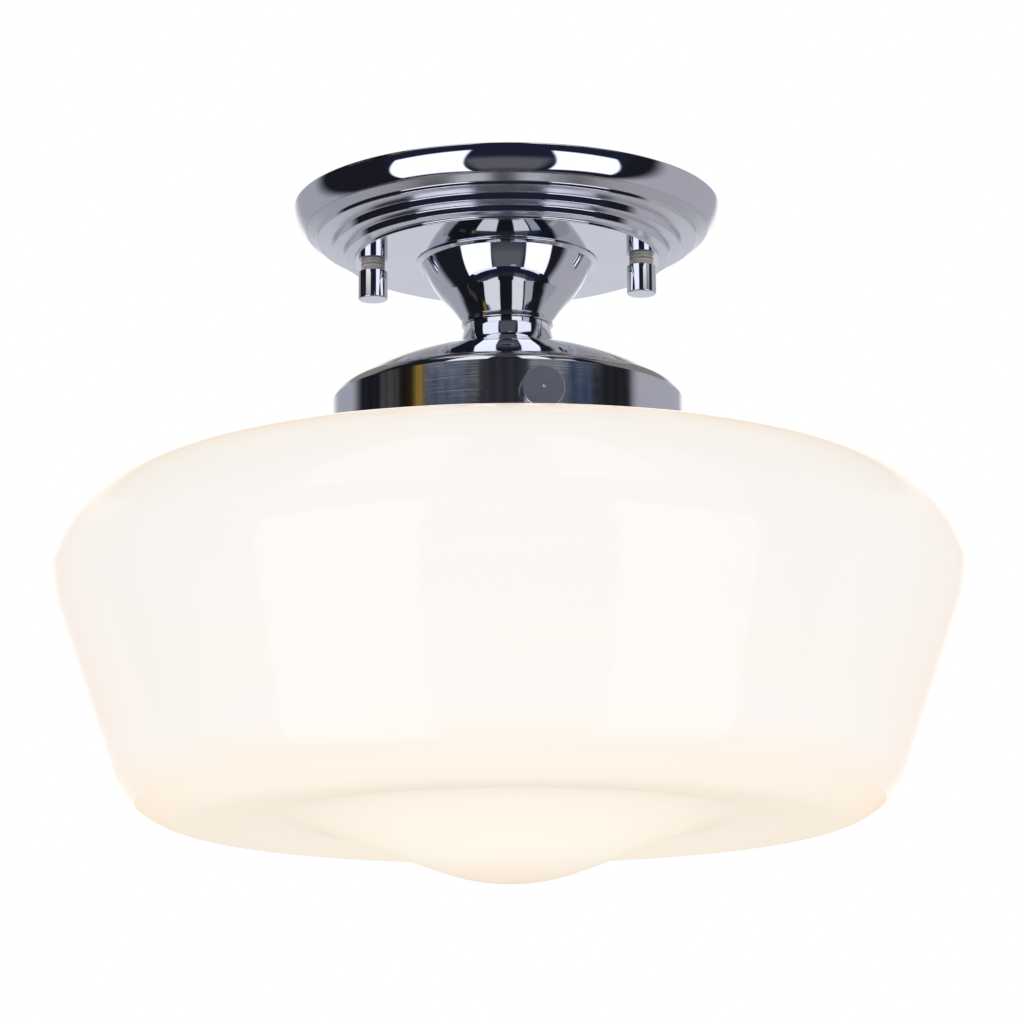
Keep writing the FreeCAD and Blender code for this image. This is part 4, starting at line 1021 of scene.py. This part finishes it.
def dome_spot(azimuth, elevation, radius):
    """A spot round the light, by its angles and its distance from the middle of the room."""
    around = math.radians(azimuth + CAMERA_AZIMUTH)
    up = math.radians(elevation)
    flat = math.cos(up) * radius
    return DOME_CENTRE + Vector((math.sin(around) * flat, -math.cos(around) * flat, math.sin(up) * radius))


def within(value, low, high, soft):
    """1 inside the range and 0 outside it, with soft edges."""
    inside = min(value - low, high - value) / soft + 0.5
    inside = min(1.0, max(0.0, inside))
    return inside * inside * (3 - 2 * inside)


def back_colour(elevation):
    """Colour of the room where no panel covers it."""
    for (low, first), (high, second) in zip(BACK_COLOURS, BACK_COLOURS[1:]):
        if elevation <= high:
            share = (elevation - low) / (high - low)
            return Vector(first).lerp(Vector(second), share)
    return Vector(BACK_COLOURS[-1][1])


def in_window(azimuth, elevation, corners):
    """1 inside a window whose sides lean, with soft edges."""
    top_left, top_right, foot_left, foot_right = corners
    top = top_left[1]
    down = (top - elevation) / (top - (foot_left[1] + foot_right[1]) / 2)
    left = top_left[0] + (foot_left[0] - top_left[0]) * down
    right = top_right[0] + (foot_right[0] - top_right[0]) * down
    across = (azimuth - left) / (right - left)
    foot = foot_left[1] + (foot_right[1] - foot_left[1]) * across
    return within(azimuth, left, right, 1.5) * within(elevation, foot, top, 2.5)


def studio_colour(azimuth, elevation):
    """Colour of the room in a direction: its back, then the panels, the windows and the streaks."""
    colour = back_colour(elevation)
    for left, right, low, high, soft_across, soft_up, own in PANELS:
        share = within(azimuth, left, right, soft_across) * within(elevation, low, high, soft_up)
        if share > 0:
            colour = colour.lerp(Vector(own), share)
    for corners in WINDOWS:
        share = in_window(azimuth, elevation, corners)
        if share > 0:
            colour = colour.lerp(Vector(WINDOW_COLOUR), share)
    in_height = within(elevation, STREAKS_FROM, STREAKS_TO, 2.0)
    in_band = in_height * within(azimuth, STREAKS_LEFT, STREAKS_RIGHT, 4.0)
    wave = sum(high * math.sin(azimuth * speed + phase) for speed, phase, high in STREAK_WAVES)
    return colour * (1 + STREAKS_DEPTH * wave * in_band)


def room_mesh():
    """A sphere round the light, with the room's colours on its vertices."""
    vertices = []
    colours = []
    for row in range(DOME_ROWS + 1):
        for column in range(DOME_COLUMNS):
            azimuth = column * 360 / DOME_COLUMNS - 180
            elevation = row * 180 / DOME_ROWS - 90
            vertices.append(dome_spot(azimuth, elevation, DOME_RADIUS))
            colours += [*studio_colour(azimuth, elevation), 1.0]
    faces = []
    for row in range(DOME_ROWS):
        lower = row * DOME_COLUMNS
        faces += ring_faces(lower, lower + DOME_COLUMNS, DOME_COLUMNS)
    mesh = new_mesh("studio_room", vertices, faces)
    layer = mesh.color_attributes.new("panels", "FLOAT_COLOR", "POINT")
    layer.data.foreach_set("color", colours)
    return mesh


def room_paint():
    """Material that shines in the colours painted on the room."""
    material = bpy.data.materials.new("studio_room")
    material.use_nodes = True
    tree = material.node_tree
    tree.nodes.clear()
    paint = tree.nodes.new("ShaderNodeAttribute")
    paint.attribute_name = "panels"
    emission = tree.nodes.new("ShaderNodeEmission")
    tree.links.new(paint.outputs["Color"], emission.inputs["Color"])
    output = tree.nodes.new("ShaderNodeOutputMaterial")
    tree.links.new(emission.outputs["Emission"], output.inputs["Surface"])
    return material


def make_studio():
    """The room that only reflections see."""
    room = add_object("studio_room", room_mesh())
    room.data.materials.append(room_paint())
    room.visible_camera = False
    room.visible_diffuse = False
    room.visible_shadow = False
    room.visible_transmission = False
    room.visible_volume_scatter = False


def white_background(tree, strength):
    """White from all around, of a given strength."""
    node = tree.nodes.new("ShaderNodeBackground")
    node.inputs["Color"].default_value = (1, 1, 1, 1)
    node.inputs["Strength"].default_value = strength
    return node.outputs["Background"]


def greater(tree, first, second):
    """The larger of two values."""
    node = tree.nodes.new("ShaderNodeMath")
    node.operation = "MAXIMUM"
    tree.links.new(first, node.inputs[0])
    tree.links.new(second, node.inputs[1])
    return node.outputs["Value"]


def make_world():
    """White for the camera, and an even fill for everything that the light is lit by."""
    world = bpy.data.worlds.new("studio_world")
    bpy.context.scene.world = world
    world.use_nodes = True
    tree = world.node_tree
    tree.nodes.clear()
    path = tree.nodes.new("ShaderNodeLightPath").outputs
    seen = greater(tree, path["Is Camera Ray"], path["Is Glossy Ray"])
    seen = greater(tree, seen, path["Is Transmission Ray"])
    mix = tree.nodes.new("ShaderNodeMixShader")
    tree.links.new(seen, mix.inputs["Fac"])
    tree.links.new(white_background(tree, FILL_STRENGTH), mix.inputs[1])
    tree.links.new(white_background(tree, 1.0), mix.inputs[2])
    output = tree.nodes.new("ShaderNodeOutputWorld")
    tree.links.new(mix.outputs["Shader"], output.inputs["Surface"])


def soft_light(name, azimuth, elevation, size, power):
    """Large soft lamp; reflections see the studio's panels instead of it."""
    data = bpy.data.lights.new(name, "AREA")
    data.shape = "DISK"
    data.size = size
    data.energy = power
    lamp = add_object(name, data)
    spot = dome_spot(azimuth, elevation, LAMP_DISTANCE)
    facing = (spot - DOME_CENTRE).to_track_quat("Z", "Y").to_matrix().to_4x4()
    lamp.matrix_world = Matrix.Translation(spot) @ facing
    lamp.visible_glossy = False
    lamp.visible_camera = False


def make_floor():
    """Pale floor with no edge in view; the camera sees it nearly white, with the shadow on it."""
    ways = ((-1, -1), (1, -1), (1, 1), (-1, 1))
    corners = [(across * FLOOR_SIZE, along * FLOOR_SIZE, FLOOR_LEVEL) for across, along in ways]
    mesh = new_mesh("studio_floor", corners, [(0, 1, 2, 3)])
    floor = add_object("studio_floor", mesh)
    material = bpy.data.materials.new("floor_paint")
    material.use_nodes = True
    tree = material.node_tree
    shader = tree.nodes["Principled BSDF"]
    shader.inputs["Base Color"].default_value = (0.93, 0.93, 0.93, 1)
    shader.inputs["Roughness"].default_value = 0.8
    shader.inputs["Emission Color"].default_value = (1, 1, 1, 1)
    path = tree.nodes.new("ShaderNodeLightPath")
    lift = tree.nodes.new("ShaderNodeMath")
    lift.operation = "MULTIPLY"
    lift.inputs[1].default_value = FLOOR_LIFT
    tree.links.new(path.outputs["Is Camera Ray"], lift.inputs[0])
    tree.links.new(lift.outputs["Value"], shader.inputs["Emission Strength"])
    mesh.materials.append(material)
    floor.visible_glossy = False


# ---------------------------------------------------------------- camera

CAMERA_DISTANCE = 1.110
CAMERA_HEIGHT = -0.3457
CAMERA_AZIMUTH = 3.0
CAMERA_PITCH = 12.334
CAMERA_YAW = 0.058
CAMERA_ROLL = 0.4
CAMERA_LENS = 122.53


def make_camera():
    """The photograph's camera."""
    data = bpy.data.cameras.new("photo_camera")
    data.sensor_width = 36.0
    data.lens = CAMERA_LENS
    data.clip_end = 30.0
    camera = add_object("photo_camera", data)
    around = math.radians(CAMERA_AZIMUTH)
    camera.location = (math.sin(around) * CAMERA_DISTANCE, -math.cos(around) * CAMERA_DISTANCE, CAMERA_HEIGHT)
    heading = math.radians(CAMERA_AZIMUTH - CAMERA_YAW)
    turn = Matrix.Rotation(heading, 4, "Z")
    tilt = Matrix.Rotation(math.radians(90 + CAMERA_PITCH), 4, "X")
    roll = Matrix.Rotation(math.radians(-CAMERA_ROLL), 4, "Z")
    camera.rotation_euler = (turn @ tilt @ roll).to_euler()
    bpy.context.scene.camera = camera


make_studio()
make_world()
soft_light("soft_left", -42, -5, 1.4, 3.8)
soft_light("soft_right", 44, -5, 1.4, 3.4)
make_floor()
make_camera()
bpy.context.scene.view_settings.view_transform = "Standard"
